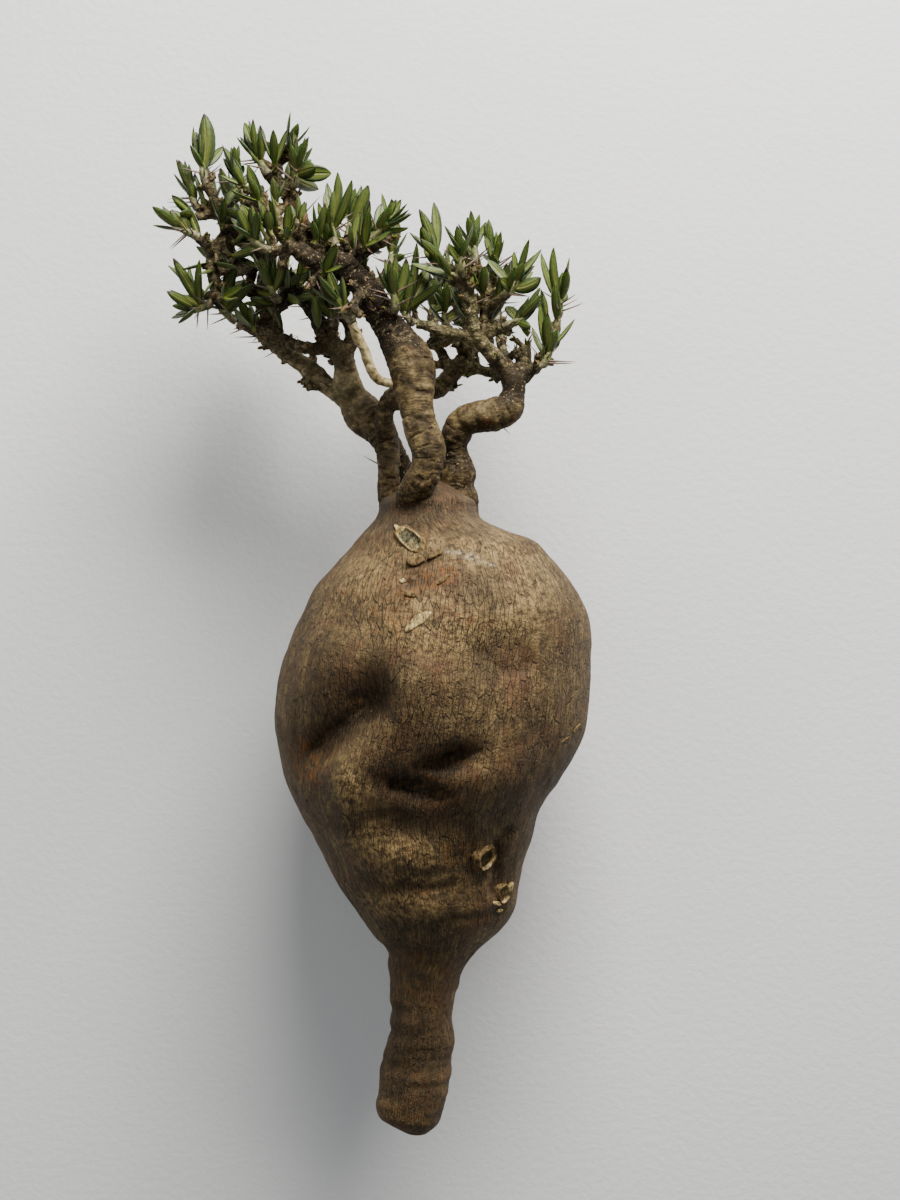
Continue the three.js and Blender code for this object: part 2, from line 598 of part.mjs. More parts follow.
function buildRoot() {
  const rings = ringHeights().map((y) => {
    return Array.from({ length: rootSides }, (_, j) => rootPoint(y, j / rootSides * 360));
  });
  const middle = (ring) => {
    return ring.reduce((sum, p) => sum.add(p), new THREE.Vector3()).divideScalar(rootSides);
  };
  const crown = middle(rings[0]).add(new THREE.Vector3(0, endRise, 0));
  const tip = middle(rings[rings.length - 1]).add(new THREE.Vector3(0, -endRise, 0));
  return join([solid(loft(rings, crown, tip)), ...cutStubs.map(cutStub)]);
}

// Tapering tube along a path of x, y, z and radius, its ends square to the path
function tube(path, sides, extra = 0, endTip = null) {
  const points = path.map(vector);
  let [u] = crossFrame(points[1].clone().sub(points[0]).normalize());
  const rings = path.map((station, i) => {
    const from = points[Math.max(i - 1, 0)];
    const to = points[Math.min(i + 1, path.length - 1)];
    const tangent = to.clone().sub(from).normalize();
    u = u.clone().addScaledVector(tangent, -u.dot(tangent)).normalize();
    const v = tangent.clone().cross(u);
    const radius = station[3] + extra;
    return Array.from({ length: sides }, (_, j) => {
      const angle = j / sides * 2 * Math.PI;
      return points[i].clone().addScaledVector(u, radius * Math.cos(angle))
        .addScaledVector(v, radius * Math.sin(angle));
    });
  });
  return loft(rings, null, endTip);
}

function sidesFor(path) {
  const radius = path[0][3];
  return radius > thickWood ? woodSides : radius > thinWood ? twigSides : thinSides;
}

// Three-sided spine with its foot sunk in the wood
function spine({ foot, tip }, extra = 0) {
  const direction = tip.clone().sub(foot).normalize();
  const [u, v] = crossFrame(direction);
  const radius = spineRadius + 2 * extra;
  const ring = [0, 1, 2].map((j) => {
    const angle = j / 3 * 2 * Math.PI;
    return foot.clone().addScaledVector(u, radius * Math.cos(angle))
      .addScaledVector(v, radius * Math.sin(angle));
  });
  return solid(loft([ring], null, tip.clone().addScaledVector(direction, 2 * extra)));
}

// Point of a leaf's midrib, a quadratic curve from root over bend to tip
function ribPoint({ root, bend, tip }, t) {
  return root.clone().multiplyScalar((1 - t) ** 2)
    .addScaledVector(bend, 2 * t * (1 - t))
    .addScaledVector(tip, t * t);
}

function ribTangent({ root, bend, tip }, t) {
  return bend.clone().sub(root).multiplyScalar(1 - t)
    .addScaledVector(tip.clone().sub(bend), t).normalize();
}

// Across direction of a leaf and the way its upper face looks, which is towards its shoot
function leafFrame(leaf, t) {
  const tangent = ribTangent(leaf, t);
  const across = leaf.across.clone().addScaledVector(tangent, -leaf.across.dot(tangent)).normalize();
  const up = across.clone().cross(tangent);
  return [across, up];
}

// Folded blade, a shallow V in section with a keel under its midrib, that starts deep in its shoot
function leafBlade(leaf) {
  const rings = leafStations.map(([t, share]) => {
    const [across, up] = leafFrame(leaf, t);
    const middle = ribPoint(leaf, t);
    const half = leaf.width / 2 * share;
    const offsets = [[-half, leafFold * half], [0, leafThickness / 2], [half, leafFold * half],
      [0, -leafThickness / 2]];
    return offsets.map(([a, b]) => middle.clone().addScaledVector(across, a).addScaledVector(up, b));
  });
  return solid(loft(rings, leaf.root, leaf.tip));
}

// Sample points over a leaf, used to keep neighbours apart
function leafSamples(leaf) {
  const samples = [];
  for (let i = 1; i <= 10; i++) {
    const t = i / 10;
    const [across] = leafFrame(leaf, t);
    const half = leaf.width / 2 * Math.min(1, 2.5 * t, 4 * (1 - t));
    for (const side of [-1, -0.33, 0.33, 1]) {
      samples.push({ t, point: ribPoint(leaf, t).addScaledVector(across, side * half) });
    }
  }
  return samples;
}

// A leaf leaves its shoot outward and turns up towards its tip, with a sideways bow of its own
function makeLeaf(base, outward, tip, axis, width, across, bow) {
  const root = base.clone().addScaledVector(outward, -leafSeat * shootRadius);
  const chord = tip.clone().sub(root);
  const length = chord.length();
  const heading = chord.clone().normalize();
  const sideways = new THREE.Vector3(-heading.y, heading.x, 0);
  const bend = heading.clone().addScaledVector(outward, leafBulge).normalize()
    .multiplyScalar(length / 2).add(root).addScaledVector(sideways, bow * length);
  const leaf = { root, bend, tip, width, across };
  const up = leafFrame(leaf, 0.5)[1];
  const inward = root.clone().addScaledVector(axis, length / 2).sub(ribPoint(leaf, 0.5));
  if (up.dot(inward) < 0) leaf.across = across.clone().negate();
  return leaf;
}

// A leaf whose tip is given, rolled about its midrib away from facing up
function shownLeaf(shoot, [x, y, z, width, roll, bow], place, lift) {
  const base = shoot.at(place);
  const tip = new THREE.Vector3(x, y, z + lift);
  const heading = tip.clone().sub(base).normalize();
  const outward = heading.clone().addScaledVector(shoot.axis, -heading.dot(shoot.axis)).normalize();
  const level = new THREE.Vector3(heading.y, -heading.x, 0).normalize();
  const across = level.applyAxisAngle(heading, THREE.MathUtils.degToRad(roll));
  return makeLeaf(base, outward, tip, shoot.axis, width, across, bow);
}

// A leaf set by rule round the shoot, drawn towards the way the plant grows
function ruleLeaf(shoot, place, degrees, draw) {
  const base = shoot.at(place);
  const angle = THREE.MathUtils.degToRad(degrees);
  const [u, v] = crossFrame(shoot.axis);
  const outward = u.multiplyScalar(Math.cos(angle)).addScaledVector(v, Math.sin(angle));
  const opening = THREE.MathUtils.degToRad(between(leafOpening, draw()));
  const length = between(leafLength, draw());
  const width = between(leafWidth, draw());
  const heading = shoot.axis.clone().multiplyScalar(Math.cos(opening))
    .addScaledVector(outward, Math.sin(opening));
  heading.y += leafUpturn;
  const tip = base.clone().addScaledVector(heading.normalize(), length);
  const across = heading.clone().cross(outward).normalize();
  return makeLeaf(base, outward, tip, shoot.axis, width, across, 0);
}

// Green shoot that carries on from the end of a branch
function makeShoot(path, grow) {
  const end = vector(path[path.length - 1]);
  const ahead = end.clone().sub(vector(path[path.length - 2])).normalize();
  const axis = vector(grow).normalize();
  const start = end.clone().addScaledVector(ahead, socketGap);
  const neck = start.clone().addScaledVector(ahead, shootNeck);
  const at = (share) => neck.clone().addScaledVector(axis, share * shootLength);
  const wide = path[path.length - 1][3];
  const stations = [
    [...start.toArray(), wide], [...at(0.1).toArray(), shootRadius],
    [...at(0.9).toArray(), shootTipRadius]];
  return { axis, at, stations };
}

// Distance from a point to a run of wood, less the wood's radius
function woodDistance(point, path) {
  let nearest = Infinity;
  for (let i = 0; i + 1 < path.length; i++) {
    const a = vector(path[i]);
    const run = vector(path[i + 1]).sub(a);
    const t = Math.min(Math.max(point.clone().sub(a).dot(run) / run.lengthSq(), 0), 1);
    const radius = path[i][3] + (path[i + 1][3] - path[i][3]) * t;
    nearest = Math.min(nearest, a.addScaledVector(run, t).distanceTo(point) - radius);
  }
  return nearest;
}

const stems = [
  { name: 'front_stem', tuft: 'front', branches: frontBranches, colour: 0x6f5a3d, seed: 1 },
  { name: 'left_stem', tuft: 'left', branches: leftBranches, colour: 0x5d4a32, seed: 2 },
  { name: 'right_stem', tuft: 'right', branches: rightBranches, colour: 0x66513a, seed: 3 },
  { name: 'pale_twig', tuft: 'twig', branches: twigBranches, colour: 0xc9b98f, seed: 4 }];

// Every tuft, with the branch that bears it
const tufts = [];
for (const stem of stems) {
  for (const branch of stem.branches.filter(({ grow }) => grow)) {
    const number = tufts.length + 1;
    const name = `${stem.tuft}_tuft_${String(number).padStart(2, '0')}`;
    const shoot = makeShoot(branch.path, branch.grow);
    tufts.push({ name, number, stem, branch, shoot, leaves: [], spines: [], draw: seededDraw(number) });
  }
}

// What is already placed: sample points with the name of the node that owns them
const taken = [];

// Whether samples keep clear of the floor, of the wood and of all that is placed. The outer part of
// a leaf also keeps off its own tuft, and its root is free to come near its own stem.
function isClear(samples, owner, stem, clearance, woodFrom) {
  for (const { t, point } of samples) {
    if (point.z < lowestLeaf) return false;
    for (const other of taken) {
      const own = other.owner === owner;
      if (own && (t < ownLeafFrom || other.t < ownLeafFrom)) continue;
      if (other.point.distanceTo(point) < (own ? ownClear : clearance)) return false;
    }
    for (const other of stems) {
      if (other === stem && t < woodFrom) continue;
      if (other.branches.some(({ path }) => woodDistance(point, path) < woodClear)) return false;
    }
  }
  return true;
}

function take(samples, owner) {
  for (const { t, point } of samples) taken.push({ owner, t, point });
}

function placeLeaf(tuft, candidates) {
  for (const leaf of candidates) {
    const samples = leafSamples(leaf);
    if (isClear(samples, tuft.name, tuft.stem, leafClear, ownWoodFrom)) {
      take(samples, tuft.name);
      tuft.leaves.push(leaf);
      return;
    }
  }
}

for (const tuft of tufts) {
  tuft.branch.leaves.forEach((tip, k) => {
    const place = between(shownPlaces, (k % 4) / 3);
    placeLeaf(tuft, leafLifts.map((lift) => shownLeaf(tuft.shoot, tip, place, lift)));
  });
}
for (const tuft of tufts) {
  for (let k = 0; k < tuft.branch.more; k++) {
    const place = between(rulePlaces, (k + 1) / (tuft.branch.more + 1));
    const candidates = Array.from({ length: leafTries }, (_, n) => {
      const degrees = goldenAngle * (k + 1) + tryTurn * n + 360 * tuft.draw();
      return ruleLeaf(tuft.shoot, place, degrees, tuft.draw);
    });
    placeLeaf(tuft, candidates);
  }
}

// A spine stands out from the wood and leans a little the way the wood grows
function placeSpine(owner, stem, foot, along, degrees, length, woodFrom) {
  const [u, v] = crossFrame(along);
  const angle = THREE.MathUtils.degToRad(degrees);
  const tip = foot.clone().addScaledVector(along, spineLean * length)
    .addScaledVector(u, spineReach * length * Math.cos(angle))
    .addScaledVector(v, spineReach * length * Math.sin(angle));
  const samples = spineShares.map((t) => ({ t, point: foot.clone().lerp(tip, t) }));
  if (!isClear(samples, owner, stem, spineClear, woodFrom)) return [];
  take(samples, owner);
  return [{ foot, tip }];
}

for (const tuft of tufts) {
  for (let k = 0; k < spinesPerShoot; k++) {
    const degrees = 180 * k + 360 * tuft.draw();
    const length = between(spineLength, tuft.draw()) + shootRadius;
    const { at, axis } = tuft.shoot;
    const foot = at(spinePlace);
    tuft.spines.push(...placeSpine(tuft.name, tuft.stem, foot, axis, degrees, length, 0));
  }
}

function branchSpines(stem, branch, draw) {
  const spines = [];
  for (let k = 0; k < branch.spines; k++) {
    const place = (k + 0.6 + 0.3 * draw()) / branch.spines * (branch.path.length - 1);
    const i = Math.min(Math.floor(place), branch.path.length - 2);
    const a = vector(branch.path[i]);
    const b = vector(branch.path[i + 1]);
    const foot = a.clone().lerp(b, place - i);
    const along = b.sub(a).normalize();
    const degrees = 360 * draw();
    const length = between(spineLength, draw()) + branch.path[i + 1][3];
    spines.push(...placeSpine(stem.name, stem, foot, along, degrees, length, 2));
  }
  return spines;
}

for (const stem of stems) {
  const draw = seededDraw(100 + stem.seed);
  const vary = (radius) => radius * (1 + knobbiness * (2 * draw() - 1));
  for (const branch of stem.branches) {
    branch.wood = branch.path.map(([x, y, z, radius]) => [x, y, z, vary(radius)]);
  }
  stem.spines = stem.branches.flatMap((branch) => branchSpines(stem, branch, draw));
}

function buildStem(stem, extra = 0) {
  const wood = stem.branches.map((branch) => solid(tube(branch.wood, sidesFor(branch.path), extra)));
  return join([...wood, ...stem.spines.map((item) => spine(item, extra))]);
}

function buildTuft(tuft) {
  const { stations, at } = tuft.shoot;
  const shoot = solid(tube(stations, shootSides, 0, at(1.05)));
  return join([shoot, ...tuft.leaves.map(leafBlade), ...tuft.spines.map((item) => spine(item))]);
}

// The run of wood that stands in a socket, a little fatter and longer than itself
function socket(wood) {
  const ahead = vector(wood[1]).sub(vector(wood[0])).normalize().multiplyScalar(socketGap);
  const first = vector(wood[0]).sub(ahead).toArray();
  return solid(tube([[...first, wood[0][3]], ...wood.slice(1)], sidesFor(wood), socketGap));
}

function material(colour, roughness) {
  return new THREE.MeshStandardMaterial({ color: colour, roughness, metalness: 0 });
}

const plant = new THREE.Group();

function addPiece(group, name, body, surface) {
  const piece = new THREE.Mesh(geometryOf(body), surface);
  piece.name = name;
  group.add(piece);
}

const footings = stems.flatMap(({ branches }) => branches.filter(({ footing }) => footing));
const root = footings.reduce((body, { wood }) => {
  return body.subtract(socket(wood.slice(0, footingStations)));
}, buildRoot());
addPiece(plant, 'caudex', root, material(0x6e583c, 0.85));

for (const stem of stems) {
  let body = buildStem(stem);
  if (stem.name === 'front_stem') {
    body = body.subtract(socket(twigBranches[0].wood.slice(0, twigSocketStations)));
  }
  const nearWood = buildStem(stem, socketGap);
  const limb = new THREE.Group();
  addPiece(limb, stem.name, body, material(stem.colour, 0.85));
  for (const tuft of tufts.filter((item) => item.stem === stem)) {
    addPiece(limb, tuft.name, buildTuft(tuft).subtract(nearWood), material(0x55702f, 0.55));
  }
  plant.add(limb);
}

export default plant;
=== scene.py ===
import math
import bpy
import numpy as np
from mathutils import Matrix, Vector
from mathutils.bvhtree import BVHTree


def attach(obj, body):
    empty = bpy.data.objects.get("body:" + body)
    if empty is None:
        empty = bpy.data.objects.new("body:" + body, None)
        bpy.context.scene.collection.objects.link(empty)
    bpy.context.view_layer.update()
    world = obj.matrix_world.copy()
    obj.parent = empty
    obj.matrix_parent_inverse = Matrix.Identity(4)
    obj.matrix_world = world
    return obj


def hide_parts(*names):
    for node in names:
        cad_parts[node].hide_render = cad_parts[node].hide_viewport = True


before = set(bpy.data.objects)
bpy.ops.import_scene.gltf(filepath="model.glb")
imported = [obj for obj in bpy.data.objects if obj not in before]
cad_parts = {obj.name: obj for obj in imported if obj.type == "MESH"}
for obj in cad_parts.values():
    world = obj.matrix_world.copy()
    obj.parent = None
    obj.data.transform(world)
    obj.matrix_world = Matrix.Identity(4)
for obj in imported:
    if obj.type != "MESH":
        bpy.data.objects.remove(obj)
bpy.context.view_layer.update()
print("frame loaded:", len(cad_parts), "nodes")

millimetre = 0.001  # every list below is in millimetres, every mesh in metres
perMetre = 1000


# the plant's own form: +Y the way it grows, +Z up from the surface it lies on

# swollen root: y, left edge, right edge, back and front
rootProfile = [
  [83, -20, 14, 40, 88], [79, -22.5, 17, 39, 92], [74, -23.5, 18.5, 38, 94], [69.5, -26, 23.5, 34, 97],
  [64.5, -31.5, 37, 28, 101], [59.5, -35.5, 45, 21, 104], [54.5, -40, 49.5, 16, 107],
  [44.5, -48.5, 57, 9, 112], [34.5, -54, 63, 4, 116], [24, -59, 66, 1, 118.5], [14, -63, 66.5, -1.5, 120],
  [4, -66, 66.5, -2.6, 121], [-6, -67, 65, -2.8, 121], [-16, -67, 63, -2, 120], [-26, -65.5, 59, 0, 118],
  [-36, -63, 53.5, 3, 115], [-46, -59, 46.5, 7, 111], [-52, -56, 43.5, 10, 108], [-61, -50.5, 41, 15, 104],
  [-71, -45, 38, 20, 100], [-82, -40, 35.5, 25, 96], [-92, -32.5, 33, 31, 92], [-101, -26, 27, 37, 86],
  [-109, -19.5, 18.5, 42, 80], [-118, -18.5, 11.5, 45, 77], [-126, -18, 8.5, 46, 76],
  [-136, -18, 7.5, 46, 76], [-148, -19.5, 8, 45, 75], [-157, -22, 7, 44, 74], [-167, -24, 5.5, 44, 74],
  [-177, -24.5, 3, 45, 73], [-182, -20.5, 1, 47, 71], [-185.5, -13, -3, 52, 66]]

# dents (minus) and swellings: x, y, spread along, spread across, turn, depth, side (1 front, -1 back)
rootForms = [
  [-26, -2, 9, 7, 38, -7, 1], [-37, -12, 12, 6, 42, -4.5, 1], [-47, -21, 8, 5, 40, -3.5, 1],
  [-42, 16, 12, 9, 60, 2, 1], [-13, 0, 13, 5, 80, 2, 1], [27, 15, 11, 9, 10, -2.5, 1],
  [46, 38, 16, 14, 0, 2, 1], [0, 6, 13, 13, 0, 3, 1], [-8, -37, 9, 3.8, -13, -6, 1],
  [7, -26, 8.5, 4, 16, -5.5, 1], [-33.5, -38, 11, 6, 85, 4.5, 1],
  [27, -36, 14, 11, 20, 3.5, 1], [-10, -52, 13, 8, 0, -5, 1], [-12, -66, 15, 7, 0, 3, 1],
  [-26, -58, 9, 8, 55, 2.5, 1], [-8, -79, 14, 3, -3, -1, 1], [-10, -86, 14, 4, 0, 1.5, 1],
  [26, -69, 11, 2.8, 95, -2.5, 1], [36, -58, 8, 5, 90, 1.5, 1], [38.6, 66, 5, 5, 0, 3, 1],
  [-20, 34, 22, 16, 0, 1.5, 1], [10, 48, 16, 10, 0, 1.5, 1], [30, 32, 16, 11, 30, -6, -1],
  [-38, 28, 14, 12, 0, 3, -1], [-34, -40, 16, 9, -30, -5, -1], [30, -46, 14, 12, 0, 3, -1],
  [4, -68, 20, 5, 0, -4, -1], [-10, 58, 14, 8, 0, -3, -1]]

# branches: path of x, y, z and radius; where "grow" is given a green shoot carries on that way with
# the listed leaves (x, y, z of the tip, width, roll, sideways bow) and "more" by rule; "spines" is how
# many spines stand on its wood, 1 where it isn't given, and "footing" marks a branch that starts on the root
frontBranches = [
  # Trunk
  {"path": [[-10, 67, 68, 5], [-13, 74, 80, 4.5], [-10, 80, 87, 5], [-6, 85, 91, 5.5], [-3, 91, 92, 6.5],
     [-2, 99, 92, 6.5], [-5, 107, 91, 6.5], [-7, 116, 90, 7.5], [-8, 125, 88, 9], [-9, 134, 86, 9],
     [-14, 143, 84, 7.5], [-20, 152, 84, 6.5], [-25, 160, 86, 6], [-31, 168, 88, 5.5],
     [-37, 174, 88, 5.5], [-44, 174, 90, 4], [-51, 177, 92, 4], [-57, 182, 92, 3.5], [-62, 189, 92, 3.5],
     [-67, 196, 90, 3], [-70, 200, 91, 2.5], [-71, 206, 92, 2]], "footing": True, "spines": 3},
  # Upper arm
  {"path": [[-33, 170, 86, 3.5], [-38, 178, 84, 3.5], [-44, 181, 82, 3.5], [-50, 184, 80, 3.5],
     [-54, 191, 80, 3.5], [-57, 198, 80, 3.5], [-60, 205, 79, 3], [-64, 209, 78, 2.5],
     [-68, 213, 78, 2.5]], "spines": 3, "grow": [-6, 10, 1], "more": 4,
   "leaves": [[-74, 235, 84, 3, 20, 0.16], [-72, 234, 76, 4, 10, 0], [-75, 221, 84, 4, 60, 0.1]]},
  # Dead stub with a bent tip
  {"path": [[-63, 208, 79, 2], [-65, 215, 76, 2], [-64, 221, 76, 2], [-64, 225, 76, 2],
     [-61, 224, 78, 1.5]], "spines": 0},
  # Short twig beside the dead stub
  {"path": [[-60, 203, 79, 2.5], [-58, 207, 82, 2]], "grow": [2, 10, 3], "more": 3,
   "leaves": [[-55, 224, 82, 6.5, 0, 0], [-48, 214, 90, 7, 10, 0.1], [-42, 213, 82, 7, 15, 0],
     [-51, 221, 74, 3, 30, 0], [-48, 209, 76, 6, 20, -0.1]]},
  # Twig that ends the trunk
  {"path": [[-62, 190, 91, 3], [-69, 194, 87, 2.5], [-74, 198, 84, 2.5], [-77, 203, 84, 2]],
   "spines": 2, "grow": [-4, 8, 0], "more": 3,
   "leaves": [[-86, 224, 80, 4, 15, 0], [-83, 223, 84, 4, 0, 0], [-81, 222, 88, 4, 10, 0],
     [-77, 214, 90, 3, 20, 0], [-75, 214, 80, 3, 30, 0], [-84, 198, 86, 5, 30, 0]]},
  # Front twig near the end of the trunk
  {"path": [[-56, 181, 92, 3], [-61, 179, 97, 2.5], [-66, 179, 99, 2]], "grow": [-7, 5, 2], "more": 3,
   "leaves": [[-77, 197, 101, 5, 15, 0.08], [-73, 195, 106, 4.5, 0, 0.05], [-70, 192, 108, 4, 10, 0]]},
  # First of the twigs at the elbow
  {"path": [[-41, 178, 84, 3.5], [-41, 183, 85, 2.5]], "grow": [-1, 9, 1], "more": 3,
   "leaves": [[-47, 200, 88, 4, 35, 0.12], [-44, 210, 82, 4, 10, 0], [-39, 212, 90, 4, 10, 0],
     [-38, 210, 80, 3, 40, 0], [-33, 208, 86, 4, 10, 0]]},
  # Second of the twigs at the elbow
  {"path": [[-36, 175, 84, 3.5], [-34, 182, 80, 2.5], [-35, 187, 76, 2.5]], "grow": [1, 9, -2], "more": 3,
   "leaves": [[-27, 209, 78, 6, 0, 0], [-30, 210, 72, 3.5, 20, 0], [-37, 206, 76, 4.5, 30, 0]]},
  # Twig that leans right from the elbow
  {"path": [[-36, 176, 84, 3], [-31, 180, 88, 2], [-27, 183, 91, 2]],
   "spines": 2, "grow": [6, 5, 2], "more": 3,
   "leaves": [[-17, 197, 94, 4, 10, 0], [-21, 200, 90, 4.5, 5, 0], [-10, 189, 92, 2.5, 30, 0],
     [-18, 189, 99, 5, 10, -0.05]]},
  # Bare spurs
  {"path": [[-45, 175, 90, 3], [-47, 169, 92, 2], [-50, 166, 93, 2]]},
  {"path": [[-59, 184, 92, 2.5], [-55, 186, 95, 2], [-53, 190, 96, 2]]},
  {"path": [[-28, 164, 88, 3], [-31, 159, 96, 2], [-33, 156, 98, 2]], "spines": 0},
  # Broken twig at the elbow
  {"path": [[-34, 176, 83, 2.5], [-30, 180, 80, 2.5], [-23, 184, 79, 2], [-17, 187, 79, 1]], "spines": 0},
  # Twig below the elbow
  {"path": [[-26, 163, 82, 3.5], [-22, 169, 75, 2.5], [-19, 175, 71, 2]], "grow": [1, 8, -2], "more": 3,
   "leaves": [[-12, 181, 72, 3.5, 20, 0], [-12, 173, 70, 3, 20, 0], [-15, 186, 66, 3.5, 20, 0]]},
  # Short twig on the right of the trunk
  {"path": [[-18, 151, 86, 3], [-16, 155, 90, 2]], "grow": [-1, 9, 3], "more": 2,
   "leaves": [[-11, 176, 96, 4.5, 5, -0.05], [-20, 171, 92, 5, 20, 0]]}]

leftBranches = [
  # Front leg, which runs on as the lower arm
  {"path": [[-19, 66, 58, 3.5], [-19, 75, 62, 3.5], [-19, 84, 62, 3.5], [-19, 93, 62, 4],
     [-20, 103, 58, 5.5], [-24, 111, 54, 7], [-30, 117, 50, 8], [-36, 124, 50, 7], [-44, 128, 50, 4.5],
     [-51, 134, 50, 4.5], [-57, 139, 50, 4], [-63, 143, 50, 4], [-68, 147, 50, 3.5], [-72, 149, 50, 3]],
   "footing": True, "spines": 3, "grow": [-6, 7, -3], "more": 5},
  # Back leg
  {"path": [[-3, 76, 48, 4], [-9, 86, 46, 4], [-13, 94, 46, 4], [-17, 102, 48, 4.5], [-22, 109, 52, 6]],
   "footing": True, "spines": 0},
  # Middle arm
  {"path": [[-20, 107, 60, 4], [-21, 115, 64, 4], [-17, 124, 62, 3.5], [-8, 127, 58, 3.5],
     [1, 127, 54, 4], [6, 132, 52, 4], [11, 138, 52, 4], [16, 144, 49, 3], [19, 151, 45, 2.5],
     [15, 158, 42, 2.5], [10, 164, 40, 2]], "spines": 2, "grow": [-4, 8, -1], "more": 4,
   "leaves": [[10, 170, 46, 4.5, 15, 0]]},
  # Back twig of the middle arm
  {"path": [[8, 134, 54, 2.5], [3, 143, 50, 2], [0, 151, 48, 2], [-1, 156, 48, 2]],
   "grow": [1, 9, 0], "more": 3,
   "leaves": [[10, 168, 52, 4.5, 10, 0], [3, 167, 46, 4, 20, 0]]},
  # Front twig of the middle arm
  {"path": [[15, 142, 50, 2.5], [10, 147, 56, 2], [6, 152, 58, 2]], "grow": [-1, 9, 1], "more": 2,
   "leaves": [[12, 161, 60, 5, 5, 0]]},
  # Upper arm
  {"path": [[-35, 123, 50, 6.5], [-37, 131, 54, 5.5], [-38, 138, 57, 5], [-42, 145, 60, 4],
     [-47, 151, 62, 3.5], [-50, 158, 64, 3.5], [-55, 164, 66, 3], [-61, 170, 68, 3], [-68, 176, 70, 3],
     [-74, 182, 72, 2.5], [-80, 187, 72, 2.5], [-85, 193, 73, 2.5], [-89, 199, 74, 2.5],
     [-92, 206, 74, 2], [-94, 210, 74, 2]], "spines": 4, "grow": [-2, 10, 0], "more": 4,
   "leaves": [[-95, 239, 76, 7.5, 0, 0], [-100, 235, 70, 2.5, 50, 0.2], [-88, 227, 68, 4, 15, 0],
     [-98, 232, 68, 4.5, 20, 0]]},
  # Twig low on the upper arm
  {"path": [[-43, 143, 60, 2.5], [-50, 143, 64, 2.5], [-57, 144, 67, 2.5], [-64, 147, 68, 2.5],
     [-72, 149, 68, 2.5], [-78, 152, 68, 2], [-82, 154, 68, 2]],
   "spines": 2, "grow": [-8, 6, 2], "more": 4,
   "leaves": [[-82, 177, 74, 6, 10, 0.28], [-79, 171, 66, 4, 30, -0.2], [-74, 169, 72, 4, 30, 0]]},
  # Drooping twig
  {"path": [[-84, 192, 73, 2.5], [-88, 186, 78, 2.5], [-91, 179, 81, 2.5], [-91, 172, 82, 2.5],
     [-89, 166, 82, 2.5], [-91, 161, 82, 2]], "spines": 3, "grow": [-9, -4, 0], "more": 3,
   "leaves": [[-109, 175, 84, 3, 30, -0.12], [-106, 177, 90, 4.5, 10, 0], [-95, 176, 88, 3.5, 30, 0],
     [-101, 176, 78, 3, 30, 0]]},
  # Side twig of the drooping twig
  {"path": [[-91, 179, 81, 2.5], [-94, 184, 82, 2], [-96, 186, 82, 2]],
   "spines": 2, "grow": [-8, 3, 1], "more": 3,
   "leaves": [[-107, 197, 86, 5.5, 5, 0], [-102, 197, 78, 4, 30, 0]]},
  # Short twig near the upper end
  {"path": [[-88, 197, 73, 2], [-93, 198, 72, 2], [-97, 200, 71, 2]],
   "spines": 2, "grow": [-4, 9, 0], "more": 4,
   "leaves": [[-101, 208, 70, 3, 30, 0]]},
  # Front twig halfway up
  {"path": [[-60, 169, 68, 2.5], [-61, 164, 74, 2], [-64, 162, 79, 2]], "grow": [-4, 8, 4], "more": 4,
   "leaves": [[-61, 176, 88, 4.5, 10, 0]]},
  # Front twig lower down
  {"path": [[-45, 148, 62, 3], [-42, 152, 68, 2.5]], "grow": [-1, 7, 4], "more": 3,
   "leaves": [[-54, 167, 76, 5, 5, 0]]},
  # Bare twigs inside the crown
  {"path": [[-67, 146, 50, 3], [-71, 156, 50, 3], [-71, 164, 52, 3], [-73, 172, 54, 2.5],
     [-71, 179, 54, 2.5], [-69, 186, 52, 2]]},
  {"path": [[-71, 165, 52, 2], [-76, 167, 58, 2], [-81, 168, 62, 1.5]]},
  {"path": [[-38, 140, 56, 3.5], [-35, 148, 58, 3], [-36, 157, 60, 3], [-39, 164, 62, 2.5],
     [-43, 169, 64, 2.5], [-46, 174, 66, 2]]},
  {"path": [[-56, 165, 67, 2.5], [-61, 164, 60, 2.5], [-66, 161, 55, 2], [-70, 158, 52, 2]]},
  {"path": [[-85, 193, 73, 2.5], [-82, 196, 68, 2], [-80, 202, 66, 2]]},
  {"path": [[-91, 172, 82, 2], [-86, 174, 76, 2], [-83, 178, 73, 1.5]]},
  # Rear twigs
  {"path": [[-57, 139, 50, 3], [-62, 141, 40, 2], [-65, 146, 32, 2]], "grow": [-6, 8, -6], "more": 6},
  {"path": [[-38, 138, 57, 3.5], [-43, 144, 44, 2.5], [-47, 152, 34, 2], [-51, 159, 30, 2]],
   "grow": [-3, 8, -3], "more": 7},
  {"path": [[-56, 164, 66, 2.5], [-60, 169, 54, 2], [-66, 176, 45, 2]], "grow": [-5, 8, -4], "more": 7},
  {"path": [[-80, 187, 72, 2.5], [-83, 193, 60, 2], [-86, 200, 52, 2]], "grow": [-1, 9, -4], "more": 6},
  {"path": [[-71, 178, 71, 2.5], [-77, 177, 60, 2], [-83, 177, 52, 2]], "grow": [-8, 3, -4], "more": 6}]

